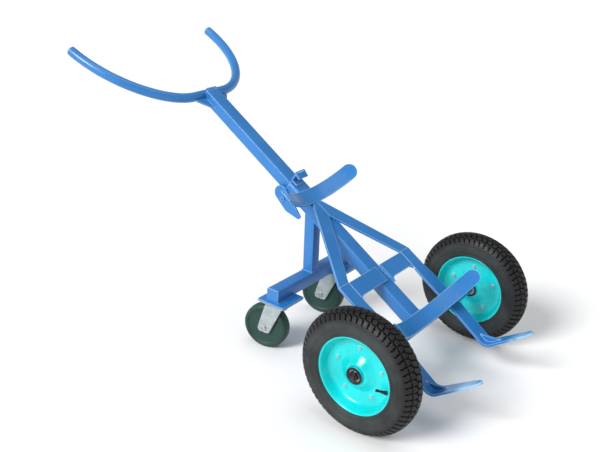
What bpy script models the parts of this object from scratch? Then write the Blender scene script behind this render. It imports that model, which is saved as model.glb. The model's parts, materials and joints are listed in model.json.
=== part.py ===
"""Drum dolly: a leaning two-wheel drum truck with two rear swivel casters and a sliding drum hook.

Units are metres and +Z is up. X runs across the dolly, -Y is the side that takes the drum, and +Y is the
side where the operator stands. "right" is the operator's right hand, which is -X. The origin lies on the
floor, under the centre of the object's bounding box.
"""

import math

import bmesh
import bpy
from mathutils import Vector

# Wheels, on a straight axle.
AXLE_Y = -0.48428
WHEEL_RADIUS = 0.196
WHEEL_TRACK = 0.7046
TYRE_HALF_WIDTH = 0.044
WHEEL_SIDES = 32
HUB_SIDES = 24
BOLT_CIRCLE = 0.078
BOLT_COUNT = 5
FIRST_BOLT_ANGLE = math.radians(16)
AXLE_RADIUS = 0.010
AXLE_TUBE_RADIUS = 0.0136
GAP = 0.0003

# Spine: one rectangular tube that leans back. Its places are (x, down, out): down is the distance from
# its top along its front face, and out is the height above that face.
SPINE_TOP_Y = AXLE_Y + 0.9093
SPINE_TOP_Z = 0.7926
SPINE_SLOPE = math.radians(32.79)
SPINE_WIDTH = 0.056
SPINE_DEPTH = 0.042
SPINE_START = -0.006
SPINE_END = 1.0725
TUBE_WALL = 0.003

# Flat bars and plates.
BAR_THICKNESS = 0.008
UPPER_STRAP_WIDTH = 0.056
UPPER_STRAP_DOWN = 0.530
UPPER_STRAP_HALF = 0.192
UPPER_STRAP_RADIUS = 0.262
LOWER_STRAP_WIDTH = 0.052
LOWER_STRAP_DOWN = 1.074
LOWER_STRAP_HALF = 0.251
LOWER_STRAP_RADIUS = 0.337
MEMBER_WIDTH = 0.050
MEMBER_INNER_X = 0.153
MEMBER_START = 0.5605
MEMBER_INNER_START = 0.621
MEMBER_SPREAD = 0.62
MEMBER_BEND = 0.852
FOOT_INNER_X = 0.150
FOOT_WIDTH = 0.058
FOOT_TAPER_START = 0.925
FOOT_TAPER_END = 0.975
MEMBER_DIP_START = 1.104
MEMBER_DIP = math.radians(3)
TOE_CORNER = 0.1649
TOE_BEND_RADIUS = 0.034
TOE_RISE = math.radians(67.3)
TOE_LENGTH = 0.174
TOE_NOSE = 0.085
TOE_HALF_WIDTH = 0.0235
TOE_GUSSET_BACK = 0.018
TOE_GUSSET_AHEAD = 0.030
TOE_GUSSET_THICKNESS = 0.008
CROSS_PLATE_DEPTH = 0.058
CROSS_PLATE_FILLET = 0.012

# Handlebar: a round tube bent to a wide U that lies in its own sloping plane.
HANDLE_RADIUS = 0.01685
HANDLE_WALL = 0.003
HANDLE_SIDES = 10
HANDLE_STATIONS = 11
HANDLE_Y = AXLE_Y + 0.9304
HANDLE_Z = 0.7735
HANDLE_SLOPE = math.radians(24.46)
HANDLE_STRAIGHT = (0.070, 0.005)
HANDLE_CONTROL = ((0.185, 0.005), (0.322, 0.150), (0.329, 0.357))
GUSSET_THICKNESS = 0.005
GUSSET_OUT = -0.030

# Rear support.
BEAM_Y = AXLE_Y + 0.450
BEAM_SIZE = 0.046
BEAM_HALF_LENGTH = 0.206
BEAM_BOTTOM = 0.1963
RISER_SIZE = 0.040
PAD_SIZE = 0.110
PAD_THICKNESS = 0.006
PLATE_THICKNESS = 0.003

# Casters.
CASTER_X = 0.161
CASTER_RADIUS = 0.080
CASTER_TRAIL = 0.049
CASTER_SWIVEL = math.radians(12.6)
CASTER_SIDES = 20
CASTER_AXLE_RADIUS = 0.0077
LEG_INNER = 0.0245
LEG_THICKNESS = 0.003
CROWN_RADIUS = 0.034
CROWN_TOP = 0.1866
CROWN_BOTTOM = 0.168

# Sliding drum hook, with a cam lever that clamps it to the spine.
SLIDE_GAP = 0.0006
SLEEVE_WALL = 0.0035
HOOK_THICKNESS = 0.006
HOOK_TOP = 0.452
HOOK_BOTTOM = 0.4995
HOOK_REACH = 0.0450
HOOK_LIP = 0.027
HOOK_LIP_FALL = 0.0083
WEB_DOWN = 0.4440
WEB_HALF_WIDTH = 0.018
LIP_HALF_WIDTH = 0.0240
EAR_THICKNESS = 0.005
LEVER_DOWN = 0.468
LEVER_OUT = -0.0583
LEVER_DISCS = ((0.450, -0.048, 0.027), (0.500, -0.070, 0.015), (0.549, -0.062, 0.009))
LEVER_PIN_RADIUS = 0.005
LEVER_THICKNESS = 0.007
CAM_THROW = 0.002

BLUE = (0.045, 0.205, 0.50)
TURQUOISE = (0.0, 0.56, 0.54)
ZINC = (0.62, 0.65, 0.65)
STEEL = (0.45, 0.46, 0.47)
BLACK_RUBBER = (0.03, 0.03, 0.032)
GREEN_RUBBER = (0.03, 0.09, 0.06)

DOWN = Vector((0, -math.cos(SPINE_SLOPE), -math.sin(SPINE_SLOPE)))
OUT = Vector((0, -math.sin(SPINE_SLOPE), math.cos(SPINE_SLOPE)))
SPINE_TOP = Vector((0, SPINE_TOP_Y, SPINE_TOP_Z))


def clear_scene():
    for obj in list(bpy.data.objects):
        bpy.data.objects.remove(obj, do_unlink=True)


def material(name, colour, roughness, metallic=0.0):
    found = bpy.data.materials.get(name)
    if found:
        return found
    made = bpy.data.materials.new(name)
    made.use_nodes = True
    shader = made.node_tree.nodes["Principled BSDF"]
    shader.inputs["Base Color"].default_value = (*colour, 1)
    shader.inputs["Roughness"].default_value = roughness
    shader.inputs["Metallic"].default_value = metallic
    return made


def frame_paint():
    return material("frame_paint", BLUE, 0.35)


def rim_paint():
    return material("rim_paint", TURQUOISE, 0.25)


def zinc_plate():
    return material("zinc_plate", ZINC, 0.35, 0.9)


def bare_steel():
    return material("bare_steel", STEEL, 0.4, 0.9)


def tyre_rubber():
    return material("tyre_rubber", BLACK_RUBBER, 0.8)


def caster_rubber():
    return material("caster_rubber", GREEN_RUBBER, 0.6)


def add_object(name, points, faces, finish, place=(0, 0, 0), smooth=False):
    """One object from plain points and faces, with its faces turned outwards."""
    mesh = bpy.data.meshes.new(name)
    work = bmesh.new()
    corners = [work.verts.new(point) for point in points]
    for face in faces:
        work.faces.new([corners[index] for index in face])
    bmesh.ops.recalc_face_normals(work, faces=work.faces)
    work.to_mesh(mesh)
    work.free()
    if smooth:
        mesh.shade_smooth()
        mesh.set_sharp_from_angle(angle=math.radians(35))
    mesh.materials.append(finish)
    obj = bpy.data.objects.new(name, mesh)
    obj.location = place
    bpy.context.scene.collection.objects.link(obj)
    return obj


def add_cutter(name, points, faces, place=(0, 0, 0)):
    cutter = add_object(name, points, faces, bare_steel(), place)
    cutter.hide_render = True
    cutter.display_type = "WIRE"
    return cutter


def boolean(obj, other, operation):
    modifier = obj.modifiers.new(other.name, "BOOLEAN")
    modifier.operation = operation
    modifier.solver = "EXACT"
    modifier.object = other


def joined_shapes(shapes):
    """Several (points, faces) lists as one, for a cutter that is made of separate shapes."""
    points = []
    faces = []
    for more_points, more_faces in shapes:
        start = len(points)
        points += more_points
        faces += [[index + start for index in face] for face in more_faces]
    return points, faces


def prism(outline, low, high, where):
    """An outline of (u, v) pairs made solid from w = low to w = high; where(u, v, w) gives each point."""
    count = len(outline)
    points = [where(u, v, w) for w in (low, high) for u, v in outline]
    faces = [list(range(count)), list(range(count, 2 * count))]
    for index in range(count):
        after = (index + 1) % count
        faces.append([index, after, count + after, count + index])
    return points, faces


def ring_bands(rings, closed):
    """Quads between neighbouring rings of points that all hold the same number of points."""
    count = len(rings[0])
    faces = []
    last = len(rings) if closed else len(rings) - 1
    for ring in range(last):
        after = (ring + 1) % len(rings)
        for index in range(count):
            along = (index + 1) % count
            faces.append(
                [ring * count + index, ring * count + along, after * count + along, after * count + index]
            )
    return faces


def lathe(profile, sides, axis="x"):
    """A closed (along, radius) profile turned about an axis. Radii are measured to the flats, and a flat
    faces down, so that a wheel stands on it. A profile that starts and ends on the axis gets end caps."""
    bored = profile[0][1] > 0
    used = profile if bored else profile[1:-1]
    stretch = 1 / math.cos(math.pi / sides)
    rings = []
    for step in range(sides):
        angle = (step + 0.5) * 2 * math.pi / sides
        ring = []
        for along, radius in used:
            across = radius * stretch * math.sin(angle)
            up = radius * stretch * math.cos(angle)
            ring.append((along, across, up) if axis == "x" else (across, up, along))
        rings.append(ring)
    points = [point for ring in rings for point in ring]
    count = len(used)
    faces = ring_bands(rings, closed=True)
    if not bored:
        faces = [face for face in faces if face[0] % count != count - 1]
        faces.append([ring * count for ring in range(sides)])
        faces.append([ring * count + count - 1 for ring in range(sides)])
    return points, faces


def bar(stations, thickness):
    """A flat bar through stations of (one edge, other edge, direction of its outer face)."""
    rings = []
    for edge, other, up in stations:
        lift = Vector(up).normalized() * thickness
        rings.append([edge, other, other + lift, edge + lift])
    points = [tuple(point) for ring in rings for point in ring]
    faces = ring_bands(rings, closed=False)
    faces.append([0, 1, 2, 3])
    last = 4 * (len(rings) - 1)
    faces.append([last, last + 1, last + 2, last + 3])
    return points, faces


def box_tube(outer_ends, inner_ends):
    """A tube with four walls: each argument holds two rings of four corners, one for each end."""
    points = [tuple(point) for ring in (*outer_ends, *inner_ends) for point in ring]
    faces = []
    for index in range(4):
        along = (index + 1) % 4
        faces.append([index, along, 4 + along, 4 + index])
        faces.append([8 + index, 8 + along, 12 + along, 12 + index])
        faces.append([index, along, 8 + along, 8 + index])
        faces.append([4 + index, 4 + along, 12 + along, 12 + index])
    return points, faces


def on_spine(across, down, out):
    return SPINE_TOP + Vector((across, 0, 0)) + DOWN * down + OUT * out


def rectangle(half_width, low, high):
    return [(-half_width, low), (half_width, low), (half_width, high), (-half_width, high)]


def arc(centre, radius, start, end, steps):
    """Points along a circle, from one angle to another, in radians."""
    found = []
    for step in range(steps + 1):
        angle = start + (end - start) * step / steps
        found.append((centre[0] + radius * math.cos(angle), centre[1] + radius * math.sin(angle)))
    return found


def make_spine():
    half = SPINE_WIDTH / 2

    def corners(down, inset):
        ring = rectangle(half - inset, -SPINE_DEPTH + inset, -inset)
        return [on_spine(across, down, out) for across, out in ring]

    ends = (SPINE_START, SPINE_END)
    outer = [corners(down, 0) for down in ends]
    inner = [corners(down, TUBE_WALL) for down in ends]
    points, faces = box_tube(outer, inner)
    spine = add_object("spine_tube", points, faces, frame_paint())
    middle = handle_point(0, HANDLE_STRAIGHT[1])
    saddle = lathe([(-0.06, 0), (-0.06, 0.0174), (0.06, 0.0174), (0.06, 0)], 16)
    boolean(spine, add_cutter("handle_saddle_cutter", *saddle, middle), "DIFFERENCE")


def handle_point(across, back):
    """A point in the handlebar's plane: back is the distance behind its front edge."""
    run = back * math.cos(HANDLE_SLOPE)
    rise = back * math.sin(HANDLE_SLOPE)
    return Vector((across, HANDLE_Y + run, HANDLE_Z + rise))


def handle_path():
    """The tube's centre line as (across, back) pairs, from the right end to the left end."""
    first = HANDLE_STRAIGHT
    second, third, last = HANDLE_CONTROL
    half = [(0.0, first[1])]
    for step in range(HANDLE_STATIONS):
        t = step / (HANDLE_STATIONS - 1)
        weights = ((1 - t) ** 3, 3 * t * (1 - t) ** 2, 3 * t * t * (1 - t), t**3)
        half.append(
            tuple(sum(w * p[axis] for w, p in zip(weights, (first, second, third, last))) for axis in (0, 1))
        )
    mirrored = [(-across, back) for across, back in reversed(half[1:])]
    return mirrored + half


def make_handlebar():
    path = [handle_point(across, back) for across, back in handle_path()]
    up = Vector((0, -math.sin(HANDLE_SLOPE), math.cos(HANDLE_SLOPE)))
    outer = []
    inner = []
    for index, centre in enumerate(path):
        before = path[max(index - 1, 0)]
        after = path[min(index + 1, len(path) - 1)]
        side = (after - before).normalized().cross(up)
        for rings, radius in ((outer, HANDLE_RADIUS), (inner, HANDLE_RADIUS - HANDLE_WALL)):
            ring = []
            for step in range(HANDLE_SIDES):
                angle = 2 * math.pi * step / HANDLE_SIDES
                ring.append(centre + (side * math.cos(angle) + up * math.sin(angle)) * radius)
            rings.append(ring)
    points = [tuple(point) for ring in outer + inner for point in ring]
    wall = ring_bands(outer, closed=False)
    start = len(outer) * HANDLE_SIDES
    wall += [[index + start for index in face] for face in ring_bands(inner, closed=False)]
    last = (len(outer) - 1) * HANDLE_SIDES
    for index in range(HANDLE_SIDES):
        along = (index + 1) % HANDLE_SIDES
        wall.append([index, along, start + along, start + index])
        wall.append([last + index, last + along, start + last + along, start + last + index])
    add_object("handlebar", points, wall, frame_paint(), smooth=True)


def make_handle_plug(name, side):
    """A shallow domed cap on the end of the handlebar."""
    ends = handle_path()[-2:]
    before, end = [handle_point(side * across, back) for across, back in ends]
    along = (end - before).normalized()
    up = Vector((0, -math.sin(HANDLE_SLOPE), math.cos(HANDLE_SLOPE)))
    across = along.cross(up)
    rings = []
    for ahead, radius in ((GAP, HANDLE_RADIUS), (0.0015, HANDLE_RADIUS), (0.004, HANDLE_RADIUS * 0.8)):
        ring = []
        for step in range(HANDLE_SIDES):
            angle = 2 * math.pi * step / HANDLE_SIDES
            offset = (across * math.cos(angle) + up * math.sin(angle)) * radius
            ring.append(tuple(end + along * ahead + offset))
        rings.append(ring)
    points = [point for ring in rings for point in ring]
    faces = ring_bands(rings, closed=False)
    faces.append(list(range(HANDLE_SIDES)))
    faces.append([2 * HANDLE_SIDES + step for step in range(HANDLE_SIDES)])
    add_object(name, points, faces, frame_paint(), smooth=True)


def make_handle_gusset(name, side):
    near = SPINE_WIDTH / 2 + GAP
    outline = [(near, 0.0066), (0.078, 0.0066), (0.074, 0.013), (near, 0.062)]

    def where(across, down, out):
        return on_spine(side * across, down, out)

    points, faces = prism(outline, GUSSET_OUT, GUSSET_OUT + GUSSET_THICKNESS, where)
    add_object(name, points, faces, frame_paint())


def strap_stations(middle_down, half_length, radius, width):
    """A strap bent to the drum's radius, with half-round ends."""
    half_width = width / 2
    sweep = math.asin(half_length / radius)
    nose = half_width / radius
    rounded = []
    for step in range(5):
        turn = math.radians(20 + 17.5 * step)
        rounded.append((sweep - nose * (1 - math.cos(turn)), turn))
    body = 8
    angles = [(-angle, turn) for angle, turn in rounded]
    for step in range(1, body):
        angles.append(((sweep - nose) * (2 * step / body - 1), math.radians(90)))
    angles += reversed(rounded)
    stations = []
    for angle, turn in angles:
        half = half_width * math.sin(turn)
        across = radius * math.sin(angle)
        out = GAP + radius * (1 - math.cos(angle))
        up = OUT * math.cos(angle) - Vector((1, 0, 0)) * math.sin(angle)
        stations.append(
            (on_spine(across, middle_down - half, out), on_spine(across, middle_down + half, out), up)
        )
    return stations


def make_strap(name, middle_down, half_length, radius, width):
    stations = strap_stations(middle_down, half_length, radius, width)
    points, faces = bar(stations, BAR_THICKNESS)
    return add_object(name, points, faces, frame_paint())


def toe_bend(steps):
    """The bend's underside as (down, out, direction's angle), after the dip below the lower strap."""
    corner_down = MEMBER_DIP_START + TOE_CORNER * math.cos(MEMBER_DIP)
    corner_out = GAP - TOE_CORNER * math.sin(MEMBER_DIP)
    tangent = TOE_BEND_RADIUS * math.tan((TOE_RISE + MEMBER_DIP) / 2)
    start_down = corner_down - tangent * math.cos(MEMBER_DIP)
    start_out = corner_out + tangent * math.sin(MEMBER_DIP)
    centre_down = start_down + TOE_BEND_RADIUS * math.sin(MEMBER_DIP)
    centre_out = start_out + TOE_BEND_RADIUS * math.cos(MEMBER_DIP)
    found = []
    for step in range(steps + 1):
        angle = -MEMBER_DIP + (TOE_RISE + MEMBER_DIP) * step / steps
        down = centre_down + TOE_BEND_RADIUS * math.sin(angle)
        out = centre_out - TOE_BEND_RADIUS * math.cos(angle)
        found.append((down, out, angle))
    return found


def toe_stations(side):
    """The dip below the lower strap, the bend and the rising toe with its long rounded nose."""
    inner = FOOT_INNER_X
    outer = FOOT_INNER_X + FOOT_WIDTH
    stations = [(on_spine(0, MEMBER_DIP_START, GAP), inner, outer, OUT)]
    for down, out, angle in toe_bend(6):
        up = OUT * math.cos(angle) - DOWN * math.sin(angle)
        stations.append((on_spine(0, down, out), inner, outer, up))
    middle = stations[-1][0]
    forward = DOWN * math.cos(angle) + OUT * math.sin(angle)
    tangent = TOE_BEND_RADIUS * math.tan((TOE_RISE + MEMBER_DIP) / 2)
    straight = TOE_LENGTH - tangent - TOE_NOSE
    axis = (inner + outer) / 2
    for step in range(8):
        turn = math.radians(82) * step / 7
        ahead = straight + TOE_NOSE * math.sin(turn) / math.sin(math.radians(82))
        width = TOE_HALF_WIDTH * math.cos(turn) ** 0.8
        stations.append((middle + forward * ahead, axis - width, axis + width, up))
    found = []
    for middle, low, high, up in stations:
        low_edge = middle + Vector((side * low, 0, 0))
        high_edge = middle + Vector((side * high, 0, 0))
        found.append((low_edge, high_edge, up))
    return found


def make_saddle_cutter():
    """The round notch that the lower strap and the side members have over the cross tube."""
    radius = AXLE_TUBE_RADIUS + 0.0005
    points, faces = lathe([(-0.26, 0), (-0.26, radius), (0.26, radius), (0.26, 0)], HUB_SIDES)
    return add_cutter("tube_saddle_cutter", points, faces, (0, AXLE_Y, WHEEL_RADIUS))


def make_side_member(name, side, saddle):
    """A flat bar that spreads from the spine, runs on beside it, and ends in the toe."""
    inner = MEMBER_INNER_X
    outer = MEMBER_INNER_X + MEMBER_WIDTH
    start_outer = outer - MEMBER_SPREAD * (MEMBER_BEND - MEMBER_START)
    knee_outer = outer - MEMBER_SPREAD * (MEMBER_BEND - MEMBER_INNER_START)
    rows = [
        (GAP, start_outer, MEMBER_START),
        (GAP, knee_outer, MEMBER_INNER_START),
        (inner, outer, MEMBER_BEND),
        (inner, outer, FOOT_TAPER_START),
        (FOOT_INNER_X, FOOT_INNER_X + FOOT_WIDTH, FOOT_TAPER_END),
    ]
    stations = []
    for low, high, down in rows:
        stations.append((on_spine(side * low, down, GAP), on_spine(side * high, down, GAP), OUT))
    stations += toe_stations(side)
    points, faces = bar(stations, BAR_THICKNESS)
    boolean(add_object(name, points, faces, frame_paint()), saddle, "DIFFERENCE")


def make_toe_gusset(name, side):
    """An upright web across the inside of the toe's bend."""
    lift = BAR_THICKNESS + GAP
    outline = []
    for down, out, angle in toe_bend(4):
        outline.append((down - lift * math.sin(angle), out + lift * math.cos(angle), angle))
    first = outline[0]
    last = outline[-1]
    back = (first[0] - TOE_GUSSET_BACK * math.cos(first[2]), first[1] - TOE_GUSSET_BACK * math.sin(first[2]))
    ahead = (last[0] + TOE_GUSSET_AHEAD * math.cos(last[2]), last[1] + TOE_GUSSET_AHEAD * math.sin(last[2]))
    outline = [back] + [(down, out) for down, out, angle in outline] + [ahead]
    middle = FOOT_INNER_X + FOOT_WIDTH / 2

    def where(place_down, place_out, across):
        return on_spine(across, place_down, place_out)

    low = side * middle - TOE_GUSSET_THICKNESS / 2
    points, faces = prism(outline, low, low + TOE_GUSSET_THICKNESS, where)
    add_object(name, points, faces, frame_paint())


def make_cross_plate(name, side):
    """Half of the plate between the spine and a side member, with filleted lower corners."""
    near = SPINE_WIDTH / 2 - 0.004
    far = MEMBER_INNER_X - GAP
    top = MEMBER_BEND
    low = top + CROSS_PLATE_DEPTH
    round_off = CROSS_PLATE_FILLET
    outline = [(near, top), (far, top), (far, low + round_off)]
    outline += arc((far - round_off, low + round_off), round_off, 0, -math.pi / 2, 3)[1:]
    spine_side = SPINE_WIDTH / 2
    outline += arc((spine_side + round_off, low + round_off), round_off, -math.pi / 2, -math.pi, 3)
    outline += [(near, low + round_off)]

    def where(across, down, out):
        return on_spine(side * across, down, out)

    points, faces = prism(outline, GAP, GAP + BAR_THICKNESS, where)
    add_object(name, points, faces, frame_paint())


def make_riser():
    """The post between the rear beam and the spine's back face, cut to the spine's slope at its top."""
    half = RISER_SIZE / 2
    bottom = BEAM_BOTTOM + BEAM_SIZE + GAP

    def corners(inset, height):
        ring = rectangle(half - inset, BEAM_Y - half + inset, BEAM_Y + half - inset)
        return [Vector((across, along, height(along))) for across, along in ring]

    def spine_back(along):
        out = -SPINE_DEPTH - GAP
        return SPINE_TOP_Z + (out + math.sin(SPINE_SLOPE) * (along - SPINE_TOP_Y)) / math.cos(SPINE_SLOPE)

    outer = [corners(0, lambda along: bottom), corners(0, spine_back)]
    inner = [corners(TUBE_WALL, lambda along: bottom), corners(TUBE_WALL, spine_back)]
    points, faces = box_tube(outer, inner)
    add_object("riser_tube", points, faces, frame_paint())


def make_rear_beam():
    half = BEAM_SIZE / 2
    middle = BEAM_BOTTOM + half
    length = BEAM_HALF_LENGTH - PLATE_THICKNESS - GAP

    def corners(across, inset):
        size = half - inset
        ring = [(-size, -size), (size, -size), (size, size), (-size, size)]
        return [Vector((across, BEAM_Y + along, middle + up)) for along, up in ring]

    outer = [corners(-length, 0), corners(length, 0)]
    inner = [corners(-length, TUBE_WALL), corners(length, TUBE_WALL)]
    points, faces = box_tube(outer, inner)
    add_object("rear_beam", points, faces, frame_paint())


def block(name, low, high, finish):
    """A box between two corners."""
    outline = [(low[0], low[1]), (high[0], low[1]), (high[0], high[1]), (low[0], high[1])]
    points, faces = prism(outline, low[2], high[2], lambda u, v, w: (u, v, w))
    return add_object(name, points, faces, finish)


def make_beam_cap(name, side):
    half = BEAM_SIZE / 2
    ends = sorted((side * BEAM_HALF_LENGTH, side * (BEAM_HALF_LENGTH - PLATE_THICKNESS)))
    low = (ends[0], BEAM_Y - half, BEAM_BOTTOM)
    high = (ends[1], BEAM_Y + half, BEAM_BOTTOM + BEAM_SIZE)
    block(name, low, high, frame_paint())


def make_caster_pad(name, side):
    half = PAD_SIZE / 2
    top = BEAM_BOTTOM - GAP
    low = (side * CASTER_X - half, BEAM_Y - half, top - PAD_THICKNESS)
    high = (side * CASTER_X + half, BEAM_Y + half, top)
    block(name, low, high, frame_paint())


def make_axle():
    end = WHEEL_TRACK / 2 + 0.043
    points, faces = lathe([(-end, 0), (-end, AXLE_RADIUS), (end, AXLE_RADIUS), (end, 0)], HUB_SIDES)
    add_object("axle_shaft", points, faces, bare_steel(), (0, AXLE_Y, WHEEL_RADIUS), smooth=True)


def make_axle_tube():
    """The frame's cross tube, which the axle passes through."""
    end = WHEEL_TRACK / 2 - 0.0318
    bore = AXLE_RADIUS + GAP
    profile = [(-end, bore), (-end, AXLE_TUBE_RADIUS), (end, AXLE_TUBE_RADIUS), (end, bore)]
    points, faces = lathe(profile, HUB_SIDES)
    add_object("axle_tube", points, faces, frame_paint(), (0, AXLE_Y, WHEEL_RADIUS), smooth=True)


def both_sides(half_profile):
    """Half a cross-section, from the centre plane outwards and back to it, made whole by its mirror image."""
    return half_profile + [(-along, radius) for along, radius in reversed(half_profile)]


def tyre_profile():
    wide = TYRE_HALF_WIDTH
    outside = [
        (0.0070, WHEEL_RADIUS),
        (0.0215, 0.1912),
        (0.0330, 0.1820),
        (wide - 0.0030, 0.1690),
        (wide, 0.1530),
        (0.0405, 0.1350),
        (0.0370, 0.1219),
        (0.0332, 0.1215),
        (0.0332, 0.1125),
        (0.0310, 0.1066),
    ]
    inside = [(0.0230, 0.1066), (0.0250, 0.1200), (0.0360, 0.1450), (0.0340, 0.1630), (0.0180, 0.1830)]
    return both_sides(outside + inside)


def rim_half_profile():
    """A pressed rim half: flange, bead seat, flat disc and a dome that rises to the hub."""
    front = [
        (0.0365, 0.1215),
        (0.0365, 0.1105),
        (0.0330, 0.1028),
        (0.0100, 0.1003),
        (0.0033, 0.0940),
        (0.0033, 0.0580),
        (0.0140, 0.0440),
        (0.0240, 0.0335),
        (0.0240, 0.0273),
    ]
    back = [
        (0.0210, 0.0273),
        (0.0210, 0.0322),
        (0.0116, 0.0420),
        (0.0002, 0.0565),
        (0.0002, 0.0952),
        (0.0088, 0.1033),
        (0.0312, 0.1058),
        (0.0335, 0.1113),
        (0.0335, 0.1215),
    ]
    return front + back


def bolt_places():
    """The rim bolts' places as (y, z) from the wheel's centre."""
    found = []
    for index in range(BOLT_COUNT):
        angle = FIRST_BOLT_ANGLE + 2 * math.pi * index / BOLT_COUNT
        found.append((BOLT_CIRCLE * math.cos(angle), BOLT_CIRCLE * math.sin(angle)))
    return found


def shifted(shape, across, along, up):
    points, faces = shape
    return [(x + across, y + along, z + up) for x, y, z in points], faces


def make_wheel(end, side):
    """A pneumatic wheel, with its origin at its centre on the axle. Outboard is along +side."""
    centre = (side * WHEEL_TRACK / 2, AXLE_Y, WHEEL_RADIUS)

    def turned(name, profile, sides, finish, flip=side):
        points, faces = lathe([(flip * along, radius) for along, radius in profile], sides)
        return add_object(name + end, points, faces, finish, centre, smooth=True)

    turned("tyre", tyre_profile(), WHEEL_SIDES, tyre_rubber())
    hole = lathe([(-0.02, 0), (-0.02, 0.0050), (0.02, 0.0050), (0.02, 0)], 8)
    holes = joined_shapes([shifted(hole, 0, along, up) for along, up in bolt_places()])
    cutter = add_cutter("bolt_hole_cutter" + end, *holes, centre)
    for name, flip in (("rim_outer", side), ("rim_inner", -side)):
        boolean(turned(name, rim_half_profile(), WHEEL_SIDES, rim_paint(), flip), cutter, "DIFFERENCE")
    hub = [(-0.031, 0.0240), (-0.031, 0.0270), (0.031, 0.0270), (0.031, 0.0240)]
    turned("hub_tube", hub, HUB_SIDES, rim_paint())
    bearing = [(0.017, 0.0103), (0.017, 0.0237), (0.0305, 0.0237), (0.0305, 0.0103)]
    turned("bearing_outer", bearing, HUB_SIDES, bare_steel())
    turned("bearing_inner", bearing, HUB_SIDES, bare_steel(), -side)
    nut = [(0.0313, 0.0106), (0.0313, 0.0150), (0.0403, 0.0150), (0.0403, 0.0106)]
    turned("axle_nut", nut, 6, bare_steel())
    bolt = [
        (-0.0100, 0),
        (-0.0100, 0.0065),
        (-0.0036, 0.0065),
        (-0.0036, 0.0040),
        (0.0036, 0.0040),
        (0.0036, 0.0065),
        (0.0096, 0.0065),
        (0.0096, 0),
    ]
    points, faces = lathe([(side * along, radius) for along, radius in bolt], 6)
    for number, (along, up) in enumerate(bolt_places(), 1):
        place = (centre[0], centre[1] + along, centre[2] + up)
        add_object(f"rim_bolt_{number}{end}", points, faces, zinc_plate(), place)


def caster_frame(side):
    """The caster's pivot on the floor, and the directions of its axle and of its trail."""
    pivot = Vector((side * CASTER_X, BEAM_Y, 0))
    axle = Vector((math.cos(CASTER_SWIVEL), math.sin(CASTER_SWIVEL), 0))
    trail = Vector((-math.sin(CASTER_SWIVEL), math.cos(CASTER_SWIVEL), 0))
    return pivot, axle, trail


def leg_outline():
    """A fork leg as (trail, height): wide under the crown, narrow and notched below the axle."""
    return [
        (-0.021, 0.1720),
        (0.044, 0.1720),
        (0.072, 0.0790),
        (0.070, 0.0690),
        (0.060, 0.0620),
        (0.055, 0.0660),
        (0.050, 0.0620),
        (0.031, 0.0620),
        (0.026, 0.0700),
    ]


def make_fork(name, side):
    pivot, axle, trail = caster_frame(side)
    outside = LEG_INNER + LEG_THICKNESS

    def local(back, height, across):
        return tuple(axle * across + trail * back + Vector((0, 0, height)))

    crown = prism(rectangle_between(-0.034, CROWN_BOTTOM, 0.044, 0.1725), -outside, outside, local)
    fork = add_object(name, *crown, zinc_plate(), tuple(pivot))
    head = lathe([(0.1700, 0), (0.1700, CROWN_RADIUS), (CROWN_TOP, CROWN_RADIUS), (CROWN_TOP, 0)], 20, "z")
    boolean(fork, add_cutter(name + "_head", *head, tuple(pivot)), "UNION")
    for label, low in (("_leg_a", -outside), ("_leg_b", LEG_INNER)):
        leg = prism(leg_outline(), low, low + LEG_THICKNESS, local)
        boolean(fork, add_cutter(name + label, *leg, tuple(pivot)), "UNION")
    bore = []
    for step in range(8):
        angle = 2 * math.pi * (step + 0.5) / 8
        size = (CASTER_AXLE_RADIUS + 0.0008) / math.cos(math.pi / 8)
        bore.append((CASTER_TRAIL + size * math.cos(angle), CASTER_RADIUS + size * math.sin(angle)))
    hole = prism(bore, -0.04, 0.04, local)
    boolean(fork, add_cutter(name + "_bore", *hole, tuple(pivot)), "DIFFERENCE")
    pin_hole = lathe([(0.16, 0), (0.16, 0.0068), (0.20, 0.0068), (0.20, 0)], 8, "z")
    boolean(fork, add_cutter(name + "_pin_hole", *pin_hole, tuple(pivot)), "DIFFERENCE")


def rectangle_between(low_u, low_v, high_u, high_v):
    return [(low_u, low_v), (high_u, low_v), (high_u, high_v), (low_u, high_v)]


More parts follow.
